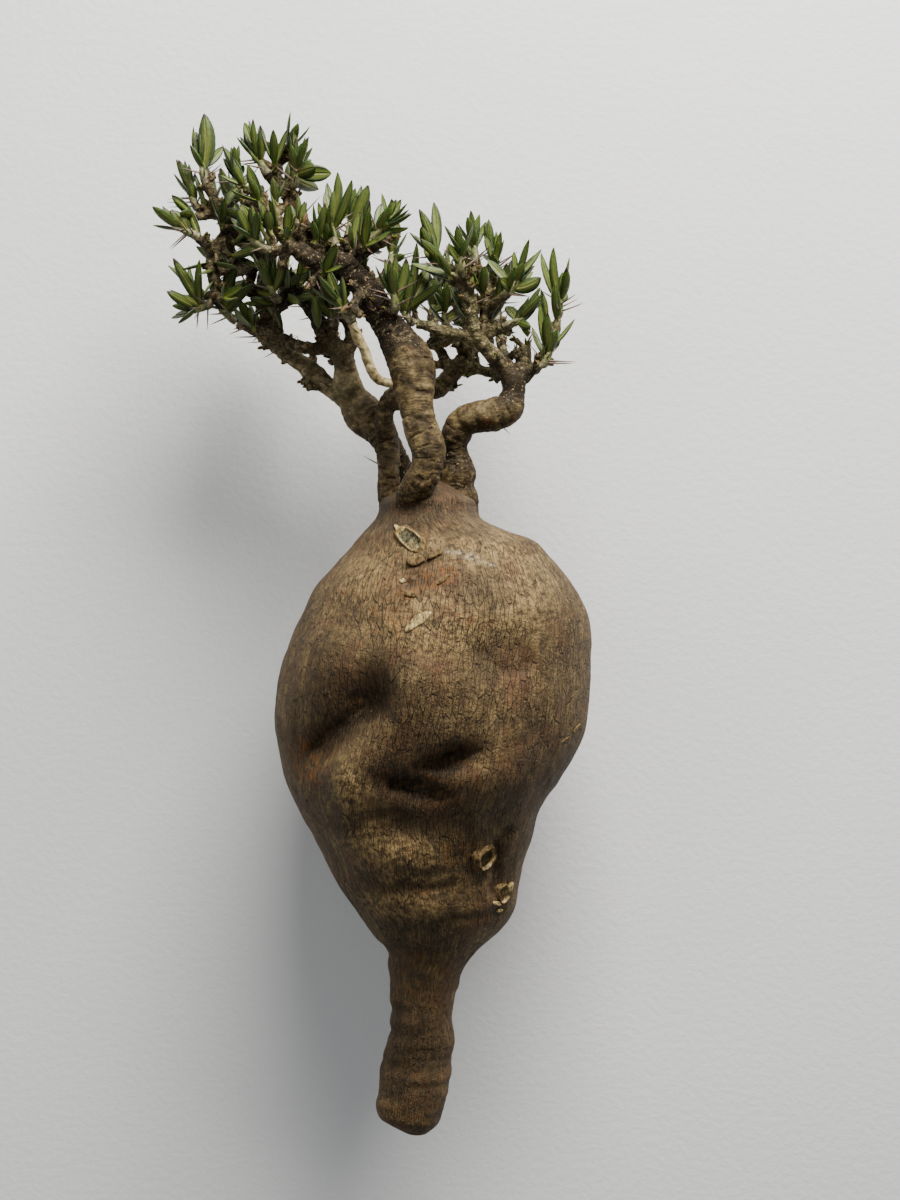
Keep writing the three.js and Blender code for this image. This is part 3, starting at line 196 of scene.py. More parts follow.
rightBranches = [
  # Trunk, which runs on as the left arm
  {"path": [[11, 71, 60, 8], [10, 79, 62, 7.5], [9, 86, 63, 7.5], [10, 92, 64, 7], [9, 100, 65, 5.5],
     [9, 106, 66, 6], [12, 112, 68, 7], [18, 114, 70, 7], [25, 115, 71, 6.5], [31, 118, 71, 6.5],
     [33, 124, 70, 5.5], [33, 129, 70, 5.5], [30, 134, 70, 4], [26, 138, 71, 3.5], [22, 142, 72, 3],
     [18, 145, 74, 2.5], [13, 147, 75, 2.5], [8, 148, 76, 2.5], [3, 149, 76, 2.5], [-2, 151, 76, 2],
     [-7, 152, 76, 2]], "footing": True, "spines": 2, "grow": [-6, 7, 1], "more": 3,
   "leaves": [[-9, 172, 80, 4.5, 10, 0.1], [-7, 186, 74, 4, 20, 0], [-2, 178, 70, 6, 15, 0],
     [3, 167, 82, 4, 10, 0], [-13, 162, 72, 4, 30, 0]]},
  # Bare stub
  {"path": [[33, 127, 70, 5], [36, 133, 69, 4], [38, 139, 68, 2.5], [38, 144, 68, 2.5]], "spines": 0},
  # Twig beside the stub
  {"path": [[37, 130, 68, 3], [41, 134, 69, 2.5], [44, 135, 70, 2]], "grow": [4, 8, 1], "more": 2,
   "leaves": [[41, 152, 66, 3, 30, 0.05], [44, 161, 74, 3.5, 20, 0], [47, 156, 80, 4.5, 5, 0],
     [51, 151, 72, 4.5, 10, -0.15]]},
  # Twig farthest right
  {"path": [[42, 133, 68, 2], [47, 141, 64, 2], [51, 150, 62, 2], [52, 156, 62, 1.5]],
   "spines": 3, "grow": [1, 10, 1], "more": 2,
   "leaves": [[45, 184, 60, 3.5, 20, 0], [50, 185, 68, 4, 10, 0], [55, 176, 72, 4, 10, -0.15],
     [56, 167, 60, 4, 20, 0]]},
  # Crossbar behind the arms
  {"path": [[31, 131, 68, 2.5], [26, 133, 62, 2.5], [19, 135, 58, 2], [15, 138, 60, 2]], "spines": 0},
  # Upright arm
  {"path": [[18, 145, 75, 2.5], [16, 153, 76, 2.5], [16, 160, 77, 2.5], [14, 165, 78, 2.5],
     [11, 170, 79, 2.5], [8, 174, 80, 2], [5, 175, 80, 2]], "spines": 2, "grow": [-6, 7, 1], "more": 3,
   "leaves": [[-6, 198, 84, 4.5, 5, 0], [0, 202, 78, 4.5, 5, 0], [-4, 180, 88, 4, 25, 0]]},
  # Short twig on the upright arm
  {"path": [[13, 167, 79, 2], [12, 171, 84, 2]], "grow": [-1, 8, 3], "more": 2,
   "leaves": [[6, 183, 90, 3.5, 10, 0], [10, 185, 86, 4, 10, 0]]},
  # Second upright arm
  {"path": [[20, 143, 72, 2.5], [21, 152, 70, 2.5], [22, 161, 69, 2.5], [21, 168, 69, 2.5],
     [19, 174, 69, 2], [18, 177, 70, 2]], "spines": 2, "grow": [-1, 10, 0], "more": 3,
   "leaves": [[19, 198, 72, 3.5, 15, 0.15], [22, 196, 66, 3, 20, 0.15]]},
  # Side twig of the second upright arm
  {"path": [[22, 162, 69, 2.5], [25, 167, 66, 2], [25, 173, 65, 2]], "grow": [-1, 10, 0], "more": 2,
   "leaves": [[26, 192, 66, 3, 20, -0.05], [21, 183, 60, 3.5, 30, 0]]},
  # Upper right twig
  {"path": [[22, 158, 70, 2.5], [26, 161, 76, 2], [29, 163, 79, 2]],
   "spines": 2, "grow": [6, 7, 2], "more": 2,
   "leaves": [[44, 170, 84, 6, 0, -0.12], [22, 178, 80, 4, 15, 0], [39, 185, 88, 3, 10, -0.1],
     [33, 181, 82, 3, 15, 0], [27, 169, 88, 5, 15, 0]]},
  # Lower right twig
  {"path": [[20, 148, 71, 2.5], [25, 150, 72, 2.5], [29, 151, 74, 2]],
   "spines": 2, "grow": [7, 3, 2], "more": 2,
   "leaves": [[43, 162, 78, 6, 0, -0.08], [40, 150, 82, 4, 20, -0.06], [30, 160, 70, 5, 20, 0],
     [39, 147, 68, 4, 20, 0.12]]},
  # Rear twigs
  {"path": [[17, 157, 76, 2.5], [13, 161, 62, 2], [10, 166, 54, 2]], "grow": [-5, 8, -4], "more": 6},
  {"path": [[30, 134, 70, 3.5], [29, 142, 58, 2.5], [28, 150, 46, 2], [27, 157, 40, 2]],
   "grow": [-1, 9, -2], "more": 7},
  {"path": [[22, 167, 69, 2.5], [19, 170, 58, 2], [16, 176, 50, 2]], "grow": [-3, 9, -3], "more": 6}]

twigBranches = [
  # Pale twig
  {"path": [[-12, 125, 88, 2], [-18, 126, 89, 2], [-23, 128, 90, 2], [-26, 133, 91, 2], [-28, 139, 92, 2],
     [-31, 145, 92, 2], [-33, 150, 93, 2]], "grow": [-6, 8, 3], "more": 4,
   "leaves": [[-39, 160, 98, 4.5, 10, 0]]}]


leafRule = {
    "shootLength": 7, "shootRadius": 1.9, "shootTipRadius": 1.2, "shootEnd": 0.4, "shootNeck": 1.5,
    "socketGap": 0.3, "length": (11, 17), "width": (3.4, 4.8), "opening": (15, 45), "upturn": 0.55,
    "bulge": 0.3, "seat": 0.6, "lifts": (0, 4, -4, 8, -8, 12, -12), "shownPlaces": (0.35, 0.85),
    "rulePlaces": (0.3, 0.9), "tries": 12, "tryTurn": 40, "goldenAngle": 137.508, "knobbiness": 0.1,
    "clear": 2.3, "ownClear": 1.5, "ownFrom": 0.35, "ownWoodFrom": 0.25, "woodClear": 1.2, "lowest": 4,
    "near": 30, "sampleSides": (-1, -0.33, 0.33, 1), "shootStations": (0.1, 0.9, 1.05),
}
extraLeafRule = {  # the smaller leaves that fill each tuft, and those on the young wood behind it
    "count": 7, "fewer": {"right_stem": 4}, "length": (10, 18), "width": (3.2, 4.8), "opening": (8, 42),
    "clear": 0.5, "ownClear": 0.35, "places": (0.25, 1.0), "sideCount": 6, "sideRun": 18, "sideTurn": 90,
}
spineRule = {
    "length": (7, 10), "clear": 1.6, "woodClear": 1.2, "woodFrom": 0, "lean": 0.4, "reach": 0.9,
    "place": 0.15, "perShoot": 2, "shares": (0.35, 0.5, 0.65, 0.82, 1),
}
stemSpineRule = {**spineRule, "woodFrom": 2, "inset": 0.6, "shift": 0.3}
extraSpineRule = {
    **spineRule, "length": (8, 12), "clear": 0.3, "woodClear": 0.3, "woodFrom": 0.5, "perShoot": 8,
    "place": 0.9,
}
spurRule = {  # short spurs on the thin wood, some with leaves of their own
    "thickest": 4.6, "spacing": 4.0, "length": (1.5, 5.5), "radius": (1.2, 1.9), "lean": 0.5, "upturn": 0.3,
    "leafy": 0.4, "leaves": 3, "leafTurn": 120, "leafSpread": 60, "above": 118, "leafyAbove": 150,
    "lowest": 6, "middle": 0.6, "taper": 0.9,
}
# where the seeds of each kind of draw start
drawSeeds = {"stem": 100, "extra": 300, "spur": 400, "shred": 500, "tone": 700}


def seededDraw(seed):
    state = [seed * 7919 + 17]

    def draw():
        state[0] = (state[0] * 1664525 + 1013904223) % 4294967296
        return state[0] / 4294967296

    for _ in range(4):
        draw()
    return draw


def between(pair, share):
    return pair[0] + (pair[1] - pair[0]) * share


def unit(v):
    return v / np.linalg.norm(v)


def crossFrame(direction):  # two unit vectors square to a direction
    ref = np.array([0.0, 0, 1]) if abs(direction[2]) < 0.9 else np.array([0.0, 1, 0])
    u = unit(np.cross(direction, ref))
    return u, np.cross(direction, u)


def aside(direction, angle):  # one of the directions square to it
    u, v = crossFrame(direction)
    return u * math.cos(angle) + v * math.sin(angle)


def turned(v, axis, degrees):
    angle = math.radians(degrees)
    return (v * math.cos(angle) + np.cross(axis, v) * math.sin(angle)
            + axis * np.dot(axis, v) * (1 - math.cos(angle)))


def ribPoint(leaf, t):
    t = np.asarray(t, float)[..., None]
    return (1 - t) ** 2 * leaf["root"] + 2 * t * (1 - t) * leaf["bend"] + t * t * leaf["tip"]


def leafFrame(leaf, t):  # across direction, and the way the upper face looks
    tangent = unit((leaf["bend"] - leaf["root"]) * (1 - t) + (leaf["tip"] - leaf["bend"]) * t)
    across = unit(leaf["across"] - tangent * np.dot(leaf["across"], tangent))
    return across, np.cross(across, tangent)


def leafSamples(leaf):  # points on its blade, and how far along it they lie
    sides = np.array(leafRule["sampleSides"])[:, None]
    points, shares = [], np.arange(1, 11) / 10
    for t in shares:
        half = leaf["width"] / 2 * min(1, 2.5 * t, 4 * (1 - t))
        points.append(ribPoint(leaf, t) + leafFrame(leaf, t)[0] * sides * half)
    return np.vstack(points), np.repeat(shares, len(sides))


def makeLeaf(base, outward, tip, axis, width, across, bow):
    root = base - outward * leafRule["seat"] * leafRule["shootRadius"]
    length = np.linalg.norm(tip - root)
    heading = (tip - root) / length
    sideways = np.array([-heading[1], heading[0], 0])
    bend = root + unit(heading + outward * leafRule["bulge"]) * length / 2 + sideways * bow * length
    leaf = {"root": root, "bend": bend, "tip": tip, "width": width, "across": across}
    inward = root + axis * length / 2 - ribPoint(leaf, 0.5)
    if np.dot(leafFrame(leaf, 0.5)[1], inward) < 0:
        leaf["across"] = -across
    return leaf


def shownLeaf(shoot, listed, place, lift):
    x, y, z, width, roll, bow = listed
    base, tip = shoot["at"](place), np.array([x, y, z + lift], float)
    heading = unit(tip - base)
    outward = unit(heading - shoot["axis"] * np.dot(heading, shoot["axis"]))
    level = unit(np.array([heading[1], -heading[0], 0]))
    return makeLeaf(base, outward, tip, shoot["axis"], width, turned(level, heading, roll), bow)


def ruleLeaf(shoot, place, degrees, draw, rule):
    outward = aside(shoot["axis"], math.radians(degrees))
    opening = math.radians(between(rule["opening"], draw()))
    length, width = between(rule["length"], draw()), between(rule["width"], draw())
    heading = shoot["axis"] * math.cos(opening) + outward * math.sin(opening)
    heading[1] += leafRule["upturn"]
    heading = unit(heading)
    base, across = shoot["at"](place), unit(np.cross(heading, outward))
    return makeLeaf(base, outward, base + heading * length, shoot["axis"], width, across, 0)


def makeShoot(path, grow):
    end = np.array(path[-1][:3], float)
    ahead, axis = unit(end - np.array(path[-2][:3], float)), unit(np.array(grow, float))
    start = end + ahead * leafRule["socketGap"]
    neck = start + ahead * leafRule["shootNeck"]

    def at(share):
        return neck + axis * share * leafRule["shootLength"]

    radii = [path[-1][3], leafRule["shootRadius"], leafRule["shootTipRadius"], leafRule["shootEnd"]]
    points = np.array([start] + [at(share) for share in leafRule["shootStations"]])
    return {"axis": axis, "at": at, "points": points, "radii": radii}


stems = [  # youth: how green and tan the thin wood is
    {"name": "front_stem", "tuft": "front", "youth": 0.45, "branches": frontBranches},
    {"name": "left_stem", "tuft": "left", "youth": 0.45, "branches": leftBranches},
    {"name": "right_stem", "tuft": "right", "youth": 0.95, "branches": rightBranches},
    {"name": "pale_twig", "tuft": "twig", "youth": 0.6, "branches": twigBranches}]
tufts = []
for seed, stem in enumerate(stems, 1):
    stem.update(seed=seed, number=drawSeeds["stem"] + seed, spines=[], spurs=[])
    stem["stem"] = stem  # spines can belong to a stem as well as to a tuft
    for key, part in (("starts", slice(None, -1)), ("ends", slice(1, None))):
        stem[key] = np.array([row for branch in stem["branches"] for row in branch["path"][part]], float)
    for branch in stem["branches"]:
        if "grow" in branch:
            number = len(tufts) + 1
            tufts.append({"name": f"{stem['tuft']}_tuft_{number:02d}", "number": number, "stem": stem,
                          "branch": branch, "shoot": makeShoot(branch["path"], branch["grow"]),
                          "leaves": [], "spines": [], "draw": seededDraw(number)})
takenRows = [np.zeros((0, 5))]  # places already filled: x, y, z, how far along the leaf, whose it is


def woodDistance(points, stem):  # to the nearest wood of a stem, less its radius
    a, b = stem["starts"], stem["ends"]
    run = b[:, :3] - a[:, :3]
    t = np.einsum("psk,sk->ps", points[:, None] - a[None, :, :3], run) / (run ** 2).sum(1)
    t = np.clip(t, 0, 1)
    nearest = a[None, :, :3] + run[None] * t[..., None]
    radius = a[None, :, 3] + (b[:, 3] - a[:, 3])[None] * t
    return (np.linalg.norm(points[:, None] - nearest, axis=2) - radius).min(1)


def takeIfClear(owner, samples, clear, ownClear, woodFrom, woodClear):
    points, shares = samples
    if (points[:, 2] < leafRule["lowest"]).any():
        return False
    for other in stems:
        tested = points if other is not owner["stem"] else points[shares >= woodFrom]
        if len(tested) and woodDistance(tested, other).min() < woodClear:
            return False
    taken = takenRows[0]
    near = taken[(np.abs(taken[:, :3] - points.mean(0)) < leafRule["near"]).all(1)]
    gaps = np.linalg.norm(points[:, None] - near[None, :, :3], axis=2)
    own = near[None, :, 4] == owner["number"]
    early = (shares[:, None] < leafRule["ownFrom"]) | (near[None, :, 3] < leafRule["ownFrom"])
    if ((gaps < np.where(own, ownClear, clear)) & ~(own & early)).any():
        return False
    rows = np.column_stack([points, shares, np.full(len(shares), owner["number"])])
    takenRows[0] = np.vstack([taken, rows])
    return True


def placeLeaf(tuft, candidates, rule):  # the first one that is clear of all the rest
    for leaf in candidates:
        if takeIfClear(tuft, leafSamples(leaf), rule["clear"], rule["ownClear"], leafRule["ownWoodFrom"],
                       leafRule["woodClear"]):
            tuft["leaves"].append(leaf)
            return


def placeRuleLeaf(tuft, bearer, place, first, spread, draw, rule):
    candidates = [ruleLeaf(bearer, place, first + leafRule["tryTurn"] * n + spread * draw(), draw, rule)
                  for n in range(leafRule["tries"])]
    placeLeaf(tuft, candidates, rule)


def placeSpine(owner, foot, along, degrees, length, rule):
    reach = rule["reach"] * length
    tip = foot + along * rule["lean"] * length + aside(along, math.radians(degrees)) * reach
    shares = np.array(rule["shares"], float)
    samples = (foot + (tip - foot) * shares[:, None], shares)
    if takeIfClear(owner, samples, rule["clear"], leafRule["ownClear"], rule["woodFrom"],
                   rule["woodClear"]):
        owner["spines"].append((foot, tip))


# the same leaves and spines as the solids, in the same order of draws
for tuft in tufts:
    for k, listed in enumerate(tuft["branch"].get("leaves", [])):
        place = between(leafRule["shownPlaces"], (k % 4) / 3)
        candidates = [shownLeaf(tuft["shoot"], listed, place, lift) for lift in leafRule["lifts"]]
        placeLeaf(tuft, candidates, leafRule)
for tuft in tufts:
    more = tuft["branch"]["more"]
    for k in range(more):
        place = between(leafRule["rulePlaces"], (k + 1) / (more + 1))
        first = leafRule["goldenAngle"] * (k + 1)
        placeRuleLeaf(tuft, tuft["shoot"], place, first, 360, tuft["draw"], leafRule)
for tuft in tufts:
    shoot, draw = tuft["shoot"], tuft["draw"]
    for k in range(spineRule["perShoot"]):
        degrees = 180 * k + 360 * draw()
        length = between(spineRule["length"], draw()) + leafRule["shootRadius"]
        placeSpine(tuft, shoot["at"](spineRule["place"]), shoot["axis"], degrees, length, spineRule)
for stem in stems:
    draw = seededDraw(stem["number"])
    for branch in stem["branches"]:
        branch["wood"] = [[x, y, z, r * (1 + leafRule["knobbiness"] * (2 * draw() - 1))]
                          for x, y, z, r in branch["path"]]
    for branch in stem["branches"]:
        path, count = np.array(branch["path"], float), branch.get("spines", 1)
        for k in range(count):
            place = (k + stemSpineRule["inset"] + stemSpineRule["shift"] * draw()) / count * (len(path) - 1)
            i = min(int(place), len(path) - 2)
            a, b = path[i, :3], path[i + 1, :3]
            degrees = 360 * draw()
            length = between(stemSpineRule["length"], draw()) + path[i + 1, 3]
            placeSpine(stem, a + (b - a) * (place - i), unit(b - a), degrees, length, stemSpineRule)
countPlaced = sum(len(tuft["leaves"]) for tuft in tufts)


# what the solids leave out: spurs, the smaller leaves and the rest of the spines

def youngWood(path, back):  # a place on a branch, that far from its end, as a shoot for one leaf
    for a, b in zip(path[-2::-1], path[:0:-1]):
        a, b = np.array(a[:3], float), np.array(b[:3], float)
        length = np.linalg.norm(b - a)
        if back < length:
            break
        back -= length
    foot, axis = b - (b - a) * min(back / length, 1), unit(b - a)
    return {"axis": axis, "at": lambda share: foot}


def addSpur(stem, own, a, b, draw):
    place, along = a + (b - a) * draw(), unit(b[:3] - a[:3])
    foot = place[:3]
    heading = unit(aside(along, 2 * math.pi * draw()) + along * spurRule["lean"]
                   + np.array([0, spurRule["upturn"], 0]))
    end = foot + heading * (place[3] + between(spurRule["length"], draw()))
    radius = between(spurRule["radius"], draw())
    leafy = draw() < spurRule["leafy"]
    if end[2] < spurRule["lowest"] or end[1] < spurRule["above"]:
        return
    middle = foot + (end - foot) * spurRule["middle"]
    stem["spurs"].append([[*foot, radius], [*middle, radius * spurRule["taper"]], [*end, radius]])
    if leafy and end[1] > spurRule["leafyAbove"]:
        tuft = min(own, key=lambda other: np.linalg.norm(other["shoot"]["at"](0) - end))
        bearer = {"axis": heading, "at": lambda place: end}
        for k in range(spurRule["leaves"]):
            first, spread = spurRule["leafTurn"] * k, spurRule["leafSpread"]
            placeRuleLeaf(tuft, bearer, 0, first, spread, draw, extraLeafRule)


for stem in stems:
    draw = seededDraw(drawSeeds["spur"] + stem["seed"])
    own = [tuft for tuft in tufts if tuft["stem"] is stem]
    for a, b in zip(stem["starts"], stem["ends"]):
        if max(a[3], b[3]) < spurRule["thickest"] and stem["name"] != "pale_twig":
            for _ in range(int(np.linalg.norm(b[:3] - a[:3]) / spurRule["spacing"] + draw())):
                addSpur(stem, own, a, b, draw)
for tuft in tufts:
    draw, shoot = seededDraw(drawSeeds["extra"] + tuft["number"]), tuft["shoot"]
    count = extraLeafRule["fewer"].get(tuft["stem"]["name"], extraLeafRule["count"])
    for k in range(count):
        place = between(extraLeafRule["places"], (k + draw()) / count)
        placeRuleLeaf(tuft, shoot, place, leafRule["goldenAngle"] * (k + 1), 360, draw, extraLeafRule)
    for k in range(extraLeafRule["sideCount"]):
        bearer = youngWood(tuft["branch"]["path"], draw() * extraLeafRule["sideRun"])
        placeRuleLeaf(tuft, bearer, 0, extraLeafRule["sideTurn"] * k, extraLeafRule["sideTurn"], draw,
                      extraLeafRule)
    for k in range(extraSpineRule["perShoot"]):
        foot = shoot["at"](draw() * extraSpineRule["place"])
        length = between(extraSpineRule["length"], draw()) + leafRule["shootRadius"]
        placeSpine(tuft, foot, shoot["axis"], 360 * draw(), length, extraSpineRule)
print("leaves:", countPlaced, "as in the solids,", sum(len(tuft["leaves"]) for tuft in tufts), "in all;",
      "spines on the shoots:", sum(len(tuft["spines"]) for tuft in tufts))


# helpers for node trees and meshes

def giveInput(item, key, value):  # a link where the value is a node's output, else the plain value
    value = getattr(value, "socket", value)
    if isinstance(value, bpy.types.NodeSocket):
        item.id_data.links.new(value, item.inputs[key])
    else:
        item.inputs[key].default_value = value


def node(tree, kind, inputs=None, **settings):
    item = tree.nodes.new(kind)
    for key, value in settings.items():
        setattr(item, key, value)
    for key, value in (inputs or {}).items():
        giveInput(item, key, value)
    return item


class Signal:  # a node's output that adds, subtracts and multiplies like a number
    def __init__(self, socket):
        self.socket, self.tree = socket, socket.id_data

    def joined(self, operation, other=0.5):
        item = node(self.tree, "ShaderNodeMath", {0: self, 1: other}, operation=operation)
        return Signal(item.outputs[0])

    def __add__(self, other):
        return self.joined("ADD", other)

    def __sub__(self, other):
        return self.joined("SUBTRACT", other)

    def __mul__(self, other):
        return self.joined("MULTIPLY", other)

    def inverse(self):
        item = node(self.tree, "ShaderNodeMath", {0: 1.0, 1: self}, operation="SUBTRACT")
        return Signal(item.outputs[0])

    def shades(self, low, high):  # 0 below low, 1 above high
        item = node(self.tree, "ShaderNodeMapRange", {"Value": self, "From Min": low, "From Max": high},
                    interpolation_type="SMOOTHSTEP")
        return Signal(item.outputs[0])


def geometryTree(name, sockets):
    tree = bpy.data.node_groups.new(name, "GeometryNodeTree")
    for way in ("INPUT", "OUTPUT"):
        tree.interface.new_socket("Geometry", in_out=way, socket_type="NodeSocketGeometry")
    for kind, labels in sockets.items():
        for label in labels:
            tree.interface.new_socket(label, in_out="INPUT", socket_type="NodeSocket" + kind)
    return tree, node(tree, "NodeGroupInput").outputs


def named(tree, name, kind="FLOAT"):
    item = node(tree, "GeometryNodeInputNamedAttribute", {"Name": name}, data_type=kind)
    return item.outputs["Attribute"]


def joinedGeometry(tree, parts):
    both = node(tree, "GeometryNodeJoinGeometry")
    for part in parts:
        tree.links.new(part, both.inputs[0])
    return node(tree, "GeometryNodeRealizeInstances", {"Geometry": both.outputs[0]}).outputs[0]


def linked(name, data):  # a new object in the scene
    item = bpy.data.objects.new(name, data)
    bpy.context.scene.collection.objects.link(item)
    return item


def growMesh(name, seedMesh, tree, values, voxel=None):  # the plain mesh that a tree makes of a seed mesh
    carrier = linked(name, seedMesh)
    modifier = carrier.modifiers.new("grow", "NODES")
    modifier.node_group = tree
    for item in tree.interface.items_tree:
        if item.in_out == "INPUT" and item.name in values:
            modifier[item.identifier] = values[item.name]
    if voxel:
        remesh = carrier.modifiers.new("skin", "REMESH")
        remesh.mode = "VOXEL"
        remesh.voxel_size = voxel * millimetre
        remesh.use_smooth_shade = True
    depsgraph = bpy.context.evaluated_depsgraph_get()
    grown = bpy.data.meshes.new_from_object(carrier.evaluated_get(depsgraph),
                                            preserve_all_data_layers=True, depsgraph=depsgraph)
    carrier.modifiers.clear()
    bpy.data.objects.remove(carrier)
    grown.name = name
    return grown


def lineMesh(name, lines):  # one run of edges for each line, with what the trees need on its points
    mesh = bpy.data.meshes.new(name)
    points = np.vstack([line["points"] for line in lines]) * millimetre
    edges, first = [], 0
    for line in lines:
        count = len(line["points"])
        edges += [(first + i, first + i + 1) for i in range(count - 1)]
        first += count
    mesh.from_pydata(points.tolist(), edges, [])
    for key, kind in (("size", "FLOAT"), ("along", "FLOAT"), ("tone", "FLOAT"), ("kind", "INT"),
                      ("across", "FLOAT_VECTOR")):
        field, width = ("vector", [3]) if kind == "FLOAT_VECTOR" else ("value", [])
        rows = [np.broadcast_to(line[key], [len(line["points"])] + width) for line in lines]
        values = np.concatenate(rows).ravel() * (millimetre if key == "size" else 1)
        attribute = mesh.attributes.new(key, kind, "POINT")
        attribute.data.foreach_set(field, values.astype(np.int32 if kind == "INT" else np.float32))
    return mesh


def readVectors(items, key):
    values = np.zeros(len(items) * 3, np.float32)
    items.foreach_get(key, values)
    return values.reshape(-1, 3).astype(float)


def storeValue(mesh, name, values):
    attribute = mesh.attributes.get(name) or mesh.attributes.new(name, "FLOAT", "POINT")
    attribute.data.foreach_set("value", np.asarray(values, np.float32))


def joinMeshes(name, meshes):
    objects = [linked(f"{name}{i}", mesh) for i, mesh in enumerate(meshes)]
    with bpy.context.temp_override(active_object=objects[0], object=objects[0],
                                   selected_objects=objects, selected_editable_objects=objects):
        bpy.ops.object.join()
    joined = objects[0].data
    bpy.data.objects.remove(objects[0])
    joined.name = name
    return joined


def addPiece(name, mesh, slot, *nodes):
    mesh.polygons.foreach_set("use_smooth", [True] * len(mesh.polygons))
    piece = linked(name, mesh)
    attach(piece, "root")
    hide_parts(*nodes)


def smoothStep(low, high, value):
    t = np.clip((np.asarray(value, float) - low) / (high - low), 0, 1)
    return t * t * (3 - 2 * t)


def scatter(cell, seed):  # a number from 0 to 1 for each whole-numbered cell
    hashed = np.full(len(cell), seed * 101 + 7, np.int64)
    for axis in range(cell.shape[1]):
        hashed = (hashed * 73856093 ^ cell[:, axis] * 19349663) & 0xFFFFFFF
        hashed = (hashed ^ (hashed >> 13)) * 83492791 & 0xFFFFFFF
    return ((hashed ^ (hashed >> 11)) % 65536) / 65535


def offsets(low, high, axes):  # every whole-numbered step from low to high along that many axes
    return np.stack(np.meshgrid(*[np.arange(low, high + 1)] * axes, indexing="ij"), -1).reshape(-1, axes)


def grain(points, size, seed, octaves=1):  # smooth lattice noise from -1 to 1, size in the points' unit
    total, weight, amount = 0, 0, 1
    for octave in range(octaves):
        p = np.atleast_2d(points) / (size / 2 ** octave) + 37.7 * (seed + 5 * octave)
        cell = np.floor(p).astype(np.int64)
        f = p - cell
        f = f * f * (3 - 2 * f)
        for step in offsets(0, 1, p.shape[1]):
            share = np.prod(np.where(step == 1, f, 1 - f), axis=1)
            total = total + share * amount * (2 * scatter(cell + step, seed) - 1)
        weight += amount
        amount *= 0.5
    return total / weight


def cells(points, size, seed):  # distances to the nearest two of scattered points, in cell sizes
    p = points / size + 19.3 * seed
    cell = np.floor(p).astype(np.int64)
    nearest, second = np.full(len(p), 9.0), np.full(len(p), 9.0)
    for step in offsets(-1, 1, 3):
        place = cell + step + np.stack([scatter(cell + step, seed + 31 * axis) for axis in (1, 2, 3)], 1)
        gap = np.linalg.norm(p - place, axis=1)
        second = np.minimum(second, np.maximum(gap, nearest))
        nearest = np.minimum(nearest, gap)
    return nearest, second


# swollen root

rootFinish = {
    "columns": 348, "rows": 262, "domeRows": 6, "frontShare": 0.25, "topRise": 5.0, "endRise": 1.0,
    "topRound": 2.2, "roundReach": 4, "domeReach": 3, "edgeNoise": 0.45, "edgeSize": 4.5, "edgeShare": 0.6,
    "markFrom": 0.22, "markTo": 0.9, "foldSize": 4.5, "foldStretch": (0.16, 1, 0.16),
    "endFold": (0.9, -98, -112), "neckFold": (0.7, 54, 68), "ragged": 0.9, "raggedSize": 3.4,
    "raggedReach": 62, "raggedDark": (0.4, 0.9), "frontFrom": (-0.15, 0.25), "sideFrom": (-0.1, 0.3),
    "wander": 3.0, "wanderSize": 6, "creaseWander": 0.8, "scuffWander": 0.15, "creaseShade": 0.6,
    "rest": 0.4, "restSize": 5, "restHighest": 0.5, "restFlat": (14, 30), "restMiddle": -4,
    "grainGirth": 62,
}
# relief of the skin: height, size, stretch along x, y and z, seed, octaves
rootRelief = [(0.9, 26, (1, 1, 1), 1, 1), (0.45, 9, (1, 1, 1), 2, 2), (0.22, 3.2, (1, 0.22, 1), 3, 2)]
# creases seen on the front: depth, width, and their points
rootCreases = [
  (1.7, 2.2, [[-16, -35], [-8, -37], [3, -39.5]]), (1.5, 2.4, [[-6, -29], [4, -27], [12, -23]]),
  (0.9, 2.6, [[-50, -23], [-43, -16], [-34, -9]]),
  (1.5, 1.0, [[-54, -25], [-46, -19.5], [-36, -11], [-28, -5]]),
  (1.5, 1.0, [[-6, -30], [2, -27.5], [10, -24.5], [18, -22]]),
  (1.6, 1.0, [[-19, -33], [-15, -36], [-9, -38.5], [0, -40.3], [7, -40.4]]),
  (0.5, 1.5, [[-27, -76], [-18, -79], [-10, -77.5], [1, -79.5], [8, -77]]),
  (1.1, 1.8, [[30, -57], [26, -61], [25.3, -70], [24.2, -80]]),
  (0.9, 1.8, [[3.5, -92.4], [14, -92], [27.9, -90]]), (0.4, 2.0, [[-31, -52], [-22, -48], [-15, -46]]),
  (0.6, 2.2, [[18, 18], [24, 12], [32, 9], [38, 12]]),
  (1.3, 1.3, [[-11, 50], [-6, 51.5], [-1, 54], [2, 57]]), (1.6, 1.5, [[-10.6, 45.4], [-9, 44.6]]),
  (0.8, 1.2, [[-7, 48], [-3, 45], [3, 46.5], [8, 50]]),
  (0.8, 1.2, [[1, 82], [5, 78], [12, 76], [17, 77]]), (0.6, 2.2, [[-22, 70], [-6, 66], [6, 64], [20, 66]]),
  (0.5, 1.5, [[-6, -64], [4, -67], [12, -65]]), (0.5, 1.4, [[-14, -70], [-4, -73], [6, -72]]),
  (0.6, 1.6, [[14, -56], [17, -64], [15, -72]]), (0.5, 1.6, [[-26, -30], [-20, -40], [-22, -50]])]
